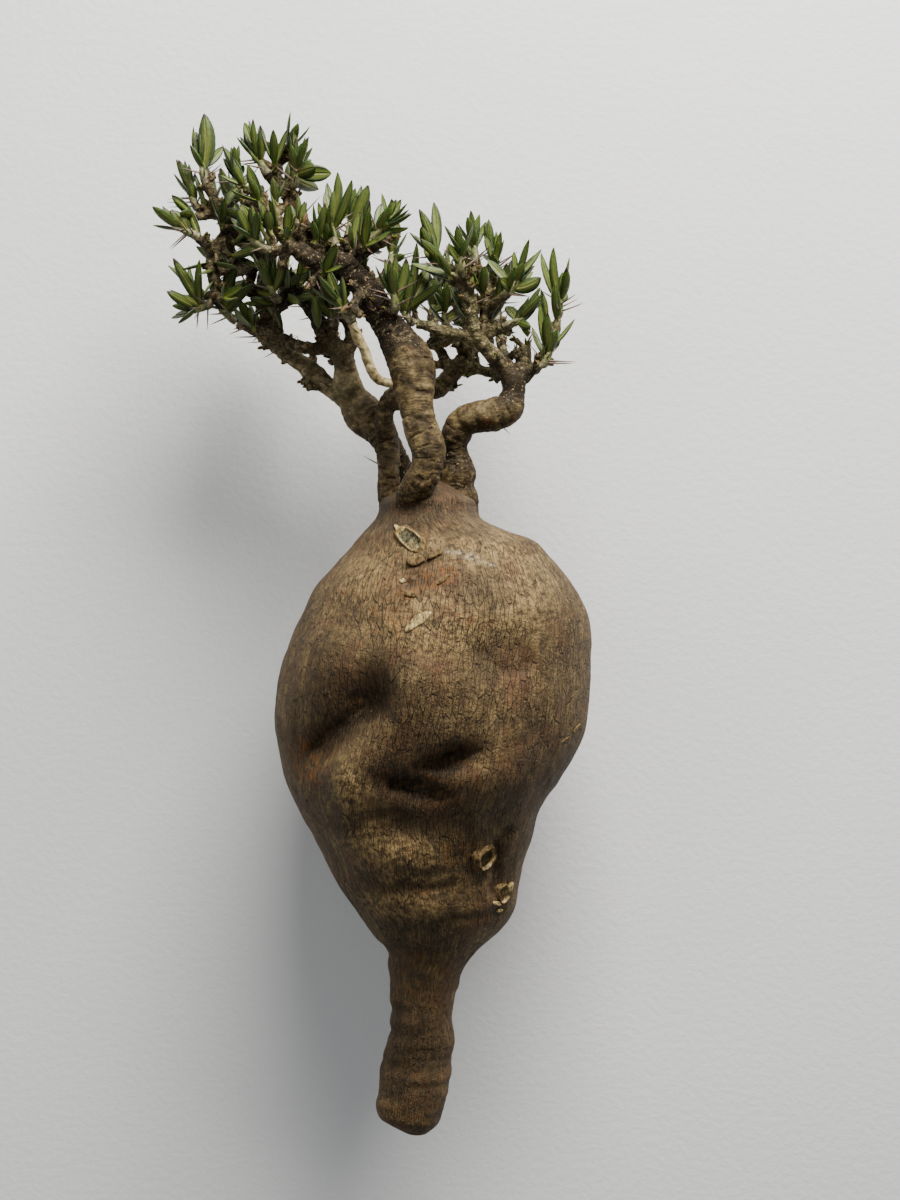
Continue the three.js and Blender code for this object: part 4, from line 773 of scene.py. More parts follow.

# stained places, painted shade and painted highlight on the front: x, y, spread along, spread across,
# turn, then how dark (stain, and painted shade in the dents, folds, hollows and on the neck), how rusty,
# how golden (golden bark, and painted highlight on the swellings)
rootMarks = [
  [-26, -2, 9, 7, 38, 0.85, 0.1, 0], [-37, -12, 12, 6, 42, 0.75, 0.15, 0],
  [-47, -20, 8, 5, 45, 0.5, 0.6, 0], [-52, -26, 5, 7, 20, 0.1, 1.0, 0], [-49, -33, 5, 4, 0, 0.1, 0.8, 0],
  [-9, -36, 11, 5, -13, 1.0, 0.2, 0], [6, -26, 12, 5.5, 20, 0.95, 0.75, 0], [0, -31, 6, 3, 20, 0.2, 0.8, 0],
  [-18.5, -32, 3, 2.5, 0, 0, 1.0, 0], [28, 15, 10, 9, 10, 0.4, 0, 0], [-8, -50, 12, 7, 0, 0.5, 0.05, 0],
  [12, -38, 12, 7, 10, 0.3, 0.3, 0], [1, 48, 8, 5, 10, 0.25, 0.8, 0.1], [-9, 43, 5, 4, 0, 0.1, 0.6, 0],
  [-17, 30, 7, 10, 20, 0, 0.35, 0.2], [-33.5, -38, 5, 10, 5, 0, 0.05, 1.0], [-27, -56, 9, 6, 35, 0, 0, 0.7],
  [-12, -65, 15, 7, 0, 0, 0.1, 0.9], [2, 28, 18, 11, 0, 0, 0, 0.6], [4, -2, 13, 14, 0, 0.22, 0.05, 0.15],
  [-14, -86, 14, 6, 0, 0, 0.15, 0.8], [34, 32, 12, 8, 10, 0, 0.05, 0.5],
  [43, -26, 11, 14, 20, 0.65, 0.1, 0], [-4, -77, 14, 5, 0, 0, 0.1, 0.6], [26, -68, 11, 3, 95, 0.6, 0.2, 0],
  [-8, -79, 16, 3, 0, 0.25, 0.35, 0], [11, -66, 7, 8, 20, 0.3, 0.55, 0],
  [-30, 60, 12, 8, 50, 0.1, 0.1, 0.1], [46, -8, 10, 22, 0, 0.25, 0, 0], [-3, 54.5, 9, 2.5, 20, 0.8, 0.2, 0],
  [-10, 45, 2.5, 2, 0, 1.0, 0, 0], [0, 79, 32, 11, 0, 0.6, 0.15, 0], [2, 87, 26, 6, 0, 0.8, 0.25, 0],
  [20, -92, 12, 3, 0, 0.55, 0.2, 0], [-46, 6, 8, 12, 30, 0.2, 0.15, 0],
  [-8, -148, 14, 26, 0, 0.72, 0.15, 0.1], [17, -50, 12, 10, 30, 0.35, 0.1, 0],
  [36, -48, 8, 14, 10, 0.45, 0, 0], [10, 60, 24, 9, 0, 0, 0.05, 0.6], [-22, 50, 14, 9, 45, 0, 0.1, 0.35],
  [36, 50, 13, 9, -35, 0, 0.05, 0.55], [-8, -128, 14, 20, 0, 0.4, 0.3, 0],
  [-10, -168, 16, 14, 0, 0.35, 0.35, 0.2], [-12, -112, 16, 6, 0, 0.3, 0.3, 0]]


# pale scuffs on the front: width and their points
rootScuffs = [
  (0.6, [[3, 57.5], [9, 56.5], [15, 54], [24.3, 51.8]]), (0.4, [[8, 57.5], [16, 56], [20, 53.5]])]


def rootRow(y):  # left, right, back and front of the root's profile at a height
    rows = np.array(rootProfile, float)
    y = np.asarray(y, float)
    i = np.clip(np.searchsorted(-rows[:, 0], -y, side="left") - 1, 0, len(rows) - 2)
    a, b = rows[i], rows[i + 1]
    before, after = rows[np.maximum(i - 1, 0)], rows[np.minimum(i + 2, len(rows) - 1)]
    step = (b[..., 0] - a[..., 0])[..., None]
    t = (y[..., None] - a[..., :1]) / step
    slopeA = (b - before)[..., 1:] / (b - before)[..., :1] * step
    slopeB = (after - a)[..., 1:] / (after - a)[..., :1] * step
    return ((2 * t ** 3 - 3 * t ** 2 + 1) * a[..., 1:] + (t ** 3 - 2 * t ** 2 + t) * slopeA
            + (3 * t ** 2 - 2 * t ** 3) * b[..., 1:] + (t ** 3 - t ** 2) * slopeB)


def spot(x, y, px, py, along, across, turn):
    tilt = math.radians(turn)
    a = (x - px) * math.cos(tilt) + (y - py) * math.sin(tilt)
    b = (y - py) * math.cos(tilt) - (x - px) * math.sin(tilt)
    return np.exp(-0.5 * ((a / along) ** 2 + (b / across) ** 2))


def rootPoints(y, degrees):
    row = rootRow(y)
    left, right, back, front = (row[..., k] for k in range(4))
    angle = np.radians(degrees)
    x = (left + right) / 2 + (right - left) / 2 * np.cos(angle)
    z = (back + front) / 2 + (front - back) / 2 * np.sin(angle)
    rise = np.zeros_like(x)
    for *form, depth, side in rootForms:
        share = smoothStep(*rootFinish["sideFrom"], side * np.sin(angle))
        rise += depth * share * spot(x, y, *form)
    return np.stack([x + rise * np.cos(angle), y, z + rise * np.sin(angle)], -1)


def runDistance(x, y, run):  # from places seen from above to a line of points
    nearest = np.full(x.shape, 1e9)
    for (ax, ay), (bx, by) in zip(run[:-1], run[1:]):
        t = ((x - ax) * (bx - ax) + (y - ay) * (by - ay)) / ((bx - ax) ** 2 + (by - ay) ** 2)
        t = np.clip(t, 0, 1)
        nearest = np.minimum(nearest, np.hypot(x - ax - t * (bx - ax), y - ay - t * (by - ay)))
    return nearest


def gridNormals(grid):  # of a grid closed round its second axis
    around = np.roll(grid, -1, axis=1) - np.roll(grid, 1, axis=1)
    normals = np.cross(around, np.gradient(grid, axis=0))
    return normals / np.maximum(np.linalg.norm(normals, axis=2, keepdims=True), 1e-9)


def rootGrid(look, turns, heights, shares):  # the plain form, closed by rings in a low dome on top
    degrees = np.degrees(turns + look["frontShare"] * np.sin(turns)) - 90
    top = heights[0]
    y, ring = np.meshgrid(heights, degrees, indexing="ij")
    grid = rootPoints(y, ring)
    inset = look["topRound"] * smoothStep(top - look["roundReach"], top, y)[..., None] ** 2
    away = (grid - grid.mean(1, keepdims=True)) * np.array([1, 0, 1])
    grid -= away / np.maximum(np.linalg.norm(away, axis=2, keepdims=True), 1e-9) * inset
    rim = grid[0].mean(0)
    dome = rim + (grid[0] - rim) * shares[:, None, None]
    dome[..., 1] = top + look["topRise"] * (1 - shares[:, None] ** 2)
    return np.concatenate([dome, grid])


def buildRoot(look):
    columns = look["columns"]
    turns = np.arange(columns) / columns * 2 * math.pi
    top, bottom = rootProfile[0][0], rootProfile[-1][0]
    heights = top + (bottom - top) * np.linspace(0, 1, look["rows"])
    shares = np.arange(1, look["domeRows"] + 1) / (look["domeRows"] + 1)
    grid = rootGrid(look, turns, heights, shares)
    normals, flat = gridNormals(grid), grid.reshape(-1, 3)
    x, y = grid[..., 0], grid[..., 1]
    onTop = smoothStep(top - look["domeReach"], top, y)
    front = np.maximum(smoothStep(*look["frontFrom"], normals[..., 2]), onTop)

    def noise(size, seed, octaves=1, stretch=(1, 1, 1)):
        return grain(flat * stretch, size, seed, octaves).reshape(y.shape)

    relief = sum(height * noise(size, seed, octaves, stretch)
                 for height, size, stretch, seed, octaves in rootRelief)
    folds = sum(height * smoothStep(low, high, y)
                for height, low, high in (look["endFold"], look["neckFold"]))
    relief += folds * noise(look["foldSize"], 11, 2, look["foldStretch"])
    marks = np.zeros((3, *y.shape))
    edge = look["edgeNoise"] * noise(look["edgeSize"], 6, 3)
    # dark marks: stain and painted shade in the hollows; golden marks: golden bark and painted highlight on
    # the swellings
    for *form, darkAndShade, rust, goldAndHighlight in rootMarks:
        share = spot(x, y, *form) + edge * look["edgeShare"]
        share = smoothStep(look["markFrom"], look["markTo"], share) * front
        marks = np.maximum(marks, np.array([darkAndShade, rust, goldAndHighlight])[:, None, None] * share)
    darkAndShade, rust, goldAndHighlight = marks
    sunk = smoothStep(*look["raggedDark"], darkAndShade) * (np.abs(y) < look["raggedReach"])
    relief += look["ragged"] * sunk * noise(look["raggedSize"], 12, 2)
    wander = look["wander"] * noise(look["wanderSize"], 4, 3)
    crack, scuff = np.zeros_like(y), np.zeros_like(y)
    for depth, width, run in rootCreases:
        share = np.exp(-((runDistance(x, y, run) + wander * look["creaseWander"]) / width) ** 2) * front
        relief -= depth * share
        crack = np.maximum(crack, share)
    grid = grid + normals * relief[..., None]
    lowest = np.minimum(look["rest"] * noise(look["restSize"], 9) + look["rest"], look["restHighest"])
    lowest = lowest * smoothStep(*look["restFlat"], np.abs(y - look["restMiddle"]))
    grid[..., 2] = np.maximum(grid[..., 2], np.maximum(lowest, 0))
    for width, run in rootScuffs:
        gap = runDistance(grid[..., 0], grid[..., 1], run) + wander * look["scuffWander"]
        scuff = np.maximum(scuff, np.exp(-(gap / width) ** 2) * front)

    # points, faces and stored values, with a pole at each end
    rows, middle = len(grid), grid.mean(1)
    above, below = look["topRise"] * shares[0] ** 2, look["endRise"]
    points = np.vstack([grid.reshape(-1, 3), middle[0] + [0, above, 0], middle[-1] - [0, below, 0]])
    i, j = np.meshgrid(np.arange(rows - 1), np.arange(columns), indexing="ij")
    a, b = i * columns + j, i * columns + (j + 1) % columns
    quads = np.stack([a, b, b + columns, a + columns], -1).reshape(-1, 4).tolist()
    last = (rows - 1) * columns
    caps = [(rows * columns, (k + 1) % columns, k) for k in range(columns)]
    caps += [(rows * columns + 1, last + k, last + (k + 1) % columns) for k in range(columns)]
    mesh = bpy.data.meshes.new("caudexBark")
    mesh.from_pydata((points * millimetre).tolist(), [], quads + caps)
    # painted shade along the sunk creases, added to the dark marks
    darkAndShade = np.maximum(darkAndShade, look["creaseShade"] * crack * (1 + edge))
    for name, values in (("darkAndShade", darkAndShade), ("rust", rust), ("goldAndHighlight", goldAndHighlight), ("scuff", scuff)):
        storeValue(mesh, name, np.append(values.ravel(), [0, 0]))
    storeValue(mesh, "cut", np.zeros(len(points)))

    # the grain's own coordinates: round the root, less squeezed where it is thin, and along it
    around = (np.append(turns, 2 * math.pi) - math.pi) * look["grainGirth"] * millimetre
    row = rootRow(heights)
    radii = (row[:, 1] - row[:, 0] + row[:, 3] - row[:, 2]) / 4
    heights = np.append(top + (1 - shares) * radii[0], heights)
    girth = np.sqrt(np.append(shares * radii[0], radii) / look["grainGirth"])

    def grainPlace(column, row):
        return np.stack([around[column] * girth[row], heights[row] * millimetre], -1)

    k, first = np.arange(columns), np.zeros(columns, int)
    corners = [np.stack([grainPlace(*corner) for corner in group], -2).reshape(-1, 2) for group in (
        ((j, i), (j + 1, i), (j + 1, i + 1), (j, i + 1)), ((k, first), (k + 1, first), (k, first)),
        ((k, first - 1), (k, first - 1), (k + 1, first - 1)))]
    layer = mesh.uv_layers.new(name="grainMap")
    layer.data.foreach_set("uv", np.vstack(corners).astype(np.float32).ravel())
    mesh.validate()
    return mesh


# stumps of cut side roots and stems: x, y, half length, half width, turn, rise, how deep the middle
# lies, the turn to the side where the torn rim is pale, and how old the middle looks
rootStumps = [
  [-9.3, 62, 7.4, 3.6, -45, 1.0, 0.1, 60, 0.8], [21, -66.5, 5, 4.6, 10, 2.0, 2.4, 215, 1],
  [28.5, -83, 4.2, 3.4, -50, 1.3, 0.2, 90, 0.4]]
stumpProfile = [  # share of the radius, share of the rise, and the look: -1 bark, 0 torn rim, 1 old middle
  [1.32, -1.0, -1], [1.18, 0.0, -1], [1.08, 0.55, -0.9], [1.0, 0.95, -0.1], [0.94, 1.0, 0],
  [0.88, 0.8, 0.5], [0.78, 0.3, 0.9], [0.45, 0.1, 1], [0.18, 0.1, 1]]
# loose chips of bark and cork on the front: x, y, half length, half width, turn, thickness, look
rootChips = [
  [-5.9, 29.5, 6.8, 1.9, 38, 0.45, 0], [-12, 45.4, 1.4, 0.9, 20, 0.4, 0.1], [-7, 53.4, 3.6, 1.9, 18, 1, -1],
  [1, 55.5, 3.6, 0.9, 24, 1.2, -0.8], [-14, 66, 2.2, 1.2, -50, 1.6, 0],
  [58.6, -14.9, 2.4, 0.6, 50, 0.35, -0.5], [53.6, -19, 2.2, 0.5, 30, 0.35, -0.5],
  [31, -80.5, 2.2, 0.8, 70, 1.6, 0], [25.5, -86.5, 1.6, 0.8, -30, 1.3, 0],
  [27, -90, 1.3, 0.6, 10, 0.9, 0], [-14, -183, 5, 1.6, -12, 0.8, -0.2],
  [38, 66, 2.4, 1.0, 0, 0.8, -1], [4, 46, 3.0, 1.0, 40, 0.8, -0.9], [-9, 40, 2.4, 1.2, -10, 0.6, -0.8]]


cutFinish = {
    "stumpSides": 36, "ragged": 0.09, "raggedScale": 2.2, "unevenScale": 3.1, "uneven": 0.5, "square": 0.94,
    "stumpDepth": 3, "chipSides": 20, "chipRagged": 0.28, "chipScale": 2.4, "chipDepth": 1.5,
    "chipRings": ((1.0, 0), (0.97, 0.7), (0.72, 1.0), (0.35, 0.9)), "chipSunk": -0.6,
}


def onRoot(tree, x, y):  # the root's front at a place seen from above
    place, normal = tree.ray_cast(Vector((x, y, 200)) * millimetre, Vector((0, 0, -1)))[:2]
    return (None, None) if place is None else (np.array(place) / millimetre, np.array(normal))


def ringsMesh(name, rings, values, cap, base, skin):  # a closed body from rings of points, with its look
    sides = len(rings[0])
    points = np.vstack(rings + [[cap], [base]]) * millimetre
    faces = [(i * sides + j, i * sides + (j + 1) % sides, (i + 1) * sides + (j + 1) % sides,
              (i + 1) * sides + j) for i in range(len(rings) - 1) for j in range(sides)]
    top, last = len(rings) * sides, (len(rings) - 1) * sides
    faces += [(last + j, last + (j + 1) % sides, top) for j in range(sides)]
    faces += [((j + 1) % sides, j, top + 1) for j in range(sides)]
    mesh = bpy.data.meshes.new(name)
    mesh.from_pydata(points.tolist(), [], faces)
    looks = np.array([np.broadcast_to(value, sides) for value in values])
    storeValue(mesh, "cut", np.append(looks.ravel(), [looks[-1].mean(), looks[0].mean()]))
    mesh.materials.append(skin)
    return mesh


def circleOf(sides):  # the angles of a ring, with their cosines and sines
    angle = np.arange(sides) / sides * 2 * math.pi
    return angle, np.column_stack([np.cos(angle), np.sin(angle)])


def buildStump(tree, number, stump, skin):
    x, y, along, across, turn, rise, hollow, paleTurn, old = stump
    look = cutFinish
    centre, normal = onRoot(tree, x, y)
    tilt = math.radians(turn)
    u = np.array([math.cos(tilt), math.sin(tilt), 0])
    u = unit(u - normal * np.dot(u, normal))
    v = np.cross(normal, u)
    angle, circle = circleOf(look["stumpSides"])
    ragged = 1 + look["ragged"] * grain(circle * look["raggedScale"], 1, 80 + number, 2)
    ragged = ragged * look["square"] / (np.abs(circle) ** 3).sum(1) ** (1 / 3)
    uneven = grain(circle * look["unevenScale"], 1, 90 + number, 2)
    faded = smoothStep(0.8, 0.0, np.cos(angle + tilt - math.radians(paleTurn)) + look["uneven"] * uneven)
    rings, looks = [], []
    for share, level, wood in stumpProfile:
        lift = look["uneven"] * uneven if level > 0.4 else 0
        height = rise * level - (hollow if wood > 0.8 else 0) + lift
        rings.append(centre + np.outer(share * ragged * along * circle[:, 0], u)
                     + np.outer(share * ragged * across * circle[:, 1], v)
                     + np.outer(np.broadcast_to(height, len(angle)), normal))
        looks.append(np.where(abs(wood) < 0.6, wood - 0.8 * faded, wood * (old if wood > 0.6 else 1)))
    cap = centre + normal * (0.1 * rise - hollow)
    return ringsMesh(f"stump{number}", rings, looks, cap, centre - look["stumpDepth"] * normal, skin)


def buildChip(tree, number, chip, skin):
    x, y, along, across, turn, thick, wood = chip
    look, tilt = cutFinish, math.radians(turn)
    circle = circleOf(look["chipSides"])[1]
    edge = 1 + look["chipRagged"] * grain(circle * look["chipScale"], 1, 70 + number, 2)
    rings = []
    for share, level in look["chipRings"]:
        a, b = share * edge * along * circle[:, 0], share * edge * across * circle[:, 1]
        px = x + a * math.cos(tilt) - b * math.sin(tilt)
        py = y + a * math.sin(tilt) + b * math.cos(tilt)
        hits = [onRoot(tree, *place) for place in zip(px, py)]
        if any(place is None for place, normal in hits):
            return None
        height = thick * level if level else look["chipSunk"]
        rings.append(np.array([place + normal * height for place, normal in hits]))
    middle = rings[-1].mean(0)
    base = middle - [0, 0, look["chipDepth"] + thick]
    return ringsMesh(f"chip{number}", rings, [wood] * len(rings), middle, base, skin)


# finishes; every pattern follows Object coordinates, the root's own grain map or a stored attribute

def stretched(vector, scale):
    return node(vector.id_data, "ShaderNodeMapping", {"Vector": vector, "Scale": scale}).outputs[0]


def shifted(vector, size, amount):  # a wandering copy of coordinates, size and amount in millimetres
    tree = vector.id_data
    inputs = {"Vector": vector, "Scale": perMetre / size, "Detail": 2.0}
    wander = node(tree, "ShaderNodeTexNoise", inputs).outputs[1]
    for operation, other in (("SUBTRACT", {1: (0.5, 0.5, 0.5)}), ("SCALE", {"Scale": amount * millimetre})):
        wander = node(tree, "ShaderNodeVectorMath", {0: wander, **other}, operation=operation).outputs[0]
    return node(tree, "ShaderNodeVectorMath", {0: vector, 1: wander}, operation="ADD").outputs[0]


def cracks(vector, width, dimensions="3D"):  # 1 in the joints between cells a unit across
    edge = node(vector.id_data, "ShaderNodeTexVoronoi", {"Vector": vector, "Scale": 1.0},
                feature="DISTANCE_TO_EDGE", voronoi_dimensions=dimensions).outputs[0]
    return Signal(edge).shades(0.0, width).inverse()


def ramp(factor, stops):
    item = node(factor.tree, "ShaderNodeValToRGB", {"Fac": factor})
    band = item.color_ramp
    while len(band.elements) < len(stops):
        band.elements.new(0.5)
    for element, (place, colour) in zip(band.elements, stops):
        element.position = place
        element.color = (*colour, 1)
    return item.outputs[0]


def mixed(factor, a, b):
    item = node(factor.tree, "ShaderNodeMix", {"Factor": factor}, data_type="RGBA", blend_type="MIX")
    for key, colour in ((6, a), (7, b)):
        giveInput(item, key, (*colour, 1) if isinstance(colour, tuple) else colour)
    return item.outputs[2]


class Finish:  # a material in the making, with its colour so far
    def __init__(self, name, look):
        self.material = bpy.data.materials.new(name)
        self.material.use_nodes = True
        self.tree = self.material.node_tree
        self.tree.nodes.clear()
        self.surface = node(self.tree, "ShaderNodeBsdfPrincipled")
        node(self.tree, "ShaderNodeOutputMaterial", {"Surface": self.surface.outputs[0]})
        self.place = node(self.tree, "ShaderNodeTexCoord").outputs["Object"]
        self.look, self.signals, self.colour = look, {}, None

    def __getitem__(self, name):  # a noise listed in the look, or else a value stored on the mesh
        if name not in self.signals:
            if name in self.look["noises"]:
                made = self.noise(*self.look["noises"][name])
            else:
                made = node(self.tree, "ShaderNodeAttribute", attribute_name=name,
                            attribute_type="GEOMETRY").outputs["Fac"]
            self.signals[name] = Signal(made)
        return self.signals[name]

    def noise(self, size, detail=4.0, roughness=0.55, stretch=None):  # its size in millimetres
        vector = stretched(self.place, stretch) if stretch else self.place
        inputs = {"Vector": vector, "Scale": perMetre / size, "Detail": detail, "Roughness": roughness}
        return node(self.tree, "ShaderNodeTexNoise", inputs).outputs[0]

    def paint(self, factor, colour):
        self.colour = mixed(factor, self.colour, colour)

    def paintLayers(self, name):
        for mask, noise, low, high, amount, colour in self.look[name]:
            factor = self[noise].shades(low, high)
            if mask:
                factor = self[mask] * factor
            self.paint(factor * amount, self.look[colour])

    def finished(self, values, heights=()):  # heights: pairs of a signal and its depth in millimetres
        bump = {}
        for value, depth in heights:
            inputs = {"Height": value, "Distance": depth * millimetre, "Strength": 1.0, **bump}
            bump = {"Normal": node(self.tree, "ShaderNodeBump", inputs).outputs[0]}
        for key, value in {"Base Color": self.colour, **values, **bump}.items():
            giveInput(self.surface, key, value)
        return self.material


# noises: size in millimetres, detail, roughness and stretch; layers: mask, noise, where it starts and
# ends, amount and colour
rootLook = {
    "low": (0.029, 0.017, 0.006), "middle": (0.088, 0.054, 0.019), "high": (0.245, 0.165, 0.066),
    "golden": (0.42, 0.285, 0.11), "grey": (0.15, 0.12, 0.075), "rust": (0.19, 0.076, 0.018),
    "red": (0.115, 0.052, 0.020), "stainAndShade": (0.014, 0.009, 0.005), "crack": (0.020, 0.012, 0.006),
    "scuff": (0.42, 0.37, 0.27), "grit": (0.13, 0.080, 0.030),
    "stops": (0.36, 0.49, 0.62), "cellWide": 2.6, "cellLong": 9.5, "hairWide": 1.2, "hairLong": 4.8,
    "cellCrack": 0.08, "hairCrack": 0.15, "crackAmount": 0.68, "hairAmount": 0.5,
    "noises": {
        "streak": (1.5, 5.0, 0.65, (1.0, 0.26, 1.0)), "mottle": (7, 5.0, 0.6), "small": (2.4, 5.0, 0.65),
        "dust": (0.9, 3.0, 0.7), "large": (42, 2.0), "patchy": (24, 3.0), "sparse": (15, 2.0),
        "broad": (13, 4.0), "wide": (19, 3.0), "flaky": (3.5, 4.0), "scattered": (5.5, 4.0),
        "embers": (3.2, 4.0), "grains": (1.4, 4.0, 0.7), "specks": (1.7, 3.0, 0.7)},
    "tones": {"streak": 0.22, "mottle": 0.22, "small": 0.3, "dust": 0.2, "plate": 0.07},
    # the last of these layers paints golden bark and painted highlight on the swellings
    "under": [
        (None, "broad", 0.46, 0.66, 0.55, "red"), (None, "large", 0.62, 0.36, 0.3, "low"),
        (None, "wide", 0.5, 0.75, 0.12, "grey"), ("goldAndHighlight", "small", 0.38, 0.62, 0.7, "golden")],
    # these layers paint rust, stain together with painted shade, and grit in the dark marks
    "stainsAndShade": [
        ("darkAndShade", "embers", 0.56, 0.68, 0.5, "rust"), ("darkAndShade", "small", 0.28, 0.6, 0.92, "stainAndShade"),
        ("darkAndShade", "grains", 0.56, 0.66, 0.45, "grit")],
    "over": [(None, "specks", 0.68, 0.73, 0.55, "golden"), ("scuff", "dust", 0.40, 0.56, 0.6, "scuff")],
}


def rootBark(look):
    bark = Finish("RootBark", look)
    along = node(bark.tree, "ShaderNodeUVMap", uv_map="grainMap").outputs[0]
    wandering = shifted(shifted(along, 18, 1.8), 6, 0.4)
    cells = stretched(wandering, (perMetre / look["cellWide"], perMetre / look["cellLong"], 1))
    fine = stretched(wandering, (perMetre / look["hairWide"], perMetre / look["hairLong"], 1))
    crack = cracks(cells, look["cellCrack"], "2D") * bark["patchy"].shades(0.2, 0.6)
    hairline = cracks(fine, look["hairCrack"], "2D") * bark["sparse"].shades(0.36, 0.6)
    plate = node(bark.tree, "ShaderNodeTexVoronoi", {"Vector": cells, "Scale": 1.0}, feature="F1",
                 voronoi_dimensions="2D").outputs[1]
    bark.signals["plate"] = Signal(node(bark.tree, "ShaderNodeSeparateColor", {0: plate}).outputs[0])
    tones = [bark[name] * amount for name, amount in look["tones"].items()]
    tone = tones[0]
    for more in tones[1:]:
        tone = tone + more
    bark.colour = ramp(tone, list(zip(look["stops"], (look["low"], look["middle"], look["high"]))))
    bark.paintLayers("under")
    rusty = bark["rust"] * bark["flaky"].shades(0.45, 0.62)
    bark.paint(rusty.joined("MAXIMUM", bark["scattered"].shades(0.62, 0.72) * 0.45), look["rust"])
    bark.paintLayers("stainsAndShade")
    bark.paint(crack * look["crackAmount"], look["crack"])
    bark.paint(hairline * look["hairAmount"], look["crack"])
    bark.paintLayers("over")
    return bark.finished({"Roughness": bark["mottle"] * 0.25 + 0.55, "Specular IOR Level": 0.25}, [
        (crack.inverse(), 0.5), (hairline.inverse(), 0.25), (bark["streak"], 0.5), (bark["small"], 0.9),
        (bark["dust"], 0.35)])


woodLook = {
    "trunk": [(0.38, (0.014, 0.009, 0.004)), (0.5, (0.058, 0.039, 0.016)), (0.62, (0.19, 0.137, 0.058))],
    "foot": [(0.38, (0.016, 0.010, 0.004)), (0.5, (0.058, 0.037, 0.014)), (0.62, (0.165, 0.112, 0.046))],
    "wornAndLit": [(0.38, (0.080, 0.062, 0.030)), (0.5, (0.210, 0.165, 0.082)), (0.62, (0.46, 0.37, 0.20))],
    "old": [(0.38, (0.014, 0.009, 0.005)), (0.5, (0.070, 0.044, 0.020)), (0.63, (0.33, 0.24, 0.125))],
    "young": [(0.37, (0.034, 0.028, 0.010)), (0.5, (0.150, 0.128, 0.052)), (0.64, (0.42, 0.37, 0.19))],
    "stainAndShade": (0.012, 0.008, 0.005), "pale": (0.36, 0.27, 0.135), "rust": (0.20, 0.075, 0.018),
    "netScale": (620, 620, 620), "netWidth": 0.2,
    "noises": {
        "mottle": (4.5, 6.0, 0.62), "speck": (1.3, 4.0, 0.6), "large": (18, 3.0),
        "grit": (0.9, 4.0, 0.7, (0.5, 1.6, 0.5)), "flakes": (6, 5.0, 0.7), "flecks": (1.5, 4.0, 0.7),
        "lichen": (2.6, 4.0, 0.7)},
    # the dark mask paints dark bark and painted shade; the knob mask paints paler knobs with a painted
    # highlight on their tops
    "layers": [
        (None, "flakes", 0.58, 0.66, 0.4, "rust"), ("darkAndShade", "mottle", 0.3, 0.5, 0.85, "stainAndShade"),
        ("pit", "large", 0.3, 0.55, 0.7, "stainAndShade"), ("knobPaleAndLit", "speck", 0.4, 0.62, 0.55, "pale"),
        ("ring", "mottle", 0.35, 0.55, 0.5, "stainAndShade"), ("band", "speck", 0.38, 0.6, 0.4, "pale"),
        ("scarred", "flecks", 0.58, 0.65, 0.8, "pale"), (None, "lichen", 0.66, 0.74, 0.5, "pale")],
}


def stemBark(look):
    bark = Finish("StemBark", look)
    mottle, speck, large, grit = bark["mottle"], bark["speck"], bark["large"], bark["grit"]
    tone = mottle * 0.5 + speck * 0.25 + large * 0.27
    broad = large * 0.4 + mottle * 0.52 + (grit - 0.5) * 0.3 + speck * 0.1
    bark.colour = mixed(bark["age"], ramp(tone, look["young"]), ramp(tone, look["old"]))
    bark.paint(bark["thick"], ramp(broad, look["trunk"]))
    # worn bark, and painted light on wood that lies in shade
    bark.paint(bark["wornAndLit"] * 0.9, ramp(broad, look["wornAndLit"]))
    bark.paint(bark["foot"], ramp(mottle * 0.4 + speck * 0.6, look["foot"]))
    bark.signals["scarred"] = bark["darkAndShade"].joined("MAXIMUM", bark["upper"])
    bark.paintLayers("layers")
    calm = (bark["thick"] * bark["upper"].inverse() * 0.8).inverse()
    net = cracks(stretched(shifted(bark.place, 5, 1.5), look["netScale"]), look["netWidth"]) * calm
    bark.paint(net * 0.4, look["stainAndShade"])
    return bark.finished({"Roughness": speck * 0.25 + 0.55, "Specular IOR Level": 0.12}, [
        (speck * calm, 0.5), (mottle * calm, 0.9), (net.inverse(), 0.2), (grit, 0.3),
        (bark["ring"], -0.35)])


paleLook = {
    "low": (0.070, 0.045, 0.018), "middle": (0.25, 0.19, 0.080), "high": (0.46, 0.37, 0.18),
    "green": (0.26, 0.25, 0.10),
    "noises": {"mottle": (3.2, 5.0, 0.6), "green": (11, 2.0), "fine": (0.9, 3.0)},
}


def paleBark(look):
    bark = Finish("PaleBark", look)
    bark.colour = ramp(bark["mottle"], [(0.34, look["low"]), (0.46, look["middle"]), (0.66, look["high"])])
    bark.paint(bark["green"].shades(0.5, 0.7) * 0.35, look["green"])
    bark.paint(bark["ring"] * 0.65, look["low"])
    return bark.finished({"Roughness": 0.62, "Specular IOR Level": 0.2},
                         [(bark["mottle"], 0.5), (bark["fine"], 0.25)])


cutLook = {
    "rim": [(0.38, (0.080, 0.050, 0.020)), (0.5, (0.29, 0.210, 0.088)), (0.66, (0.58, 0.46, 0.21))],
    "core": [(0.38, (0.016, 0.013, 0.008)), (0.52, (0.085, 0.078, 0.042)), (0.7, (0.27, 0.25, 0.15))],
    "bark": [(0.36, (0.026, 0.016, 0.007)), (0.5, (0.115, 0.072, 0.028)), (0.7, (0.26, 0.18, 0.08))],
    "noises": {"fibre": (1.1, 5.0, 0.65, (1.0, 0.4, 1.0))},
}


def cutWood(look):
    wood = Finish("CutWood", look)
    rim, core, bark = (ramp(wood["fibre"], look[name]) for name in ("rim", "core", "bark"))
    wood.colour = mixed(wood["cut"].shades(0.0, 0.9), rim, core)
    wood.paint(wood["cut"].shades(-0.15, -0.6), bark)
    return wood.finished({"Roughness": 0.8, "Specular IOR Level": 0.1}, [(wood["fibre"], 0.7)])


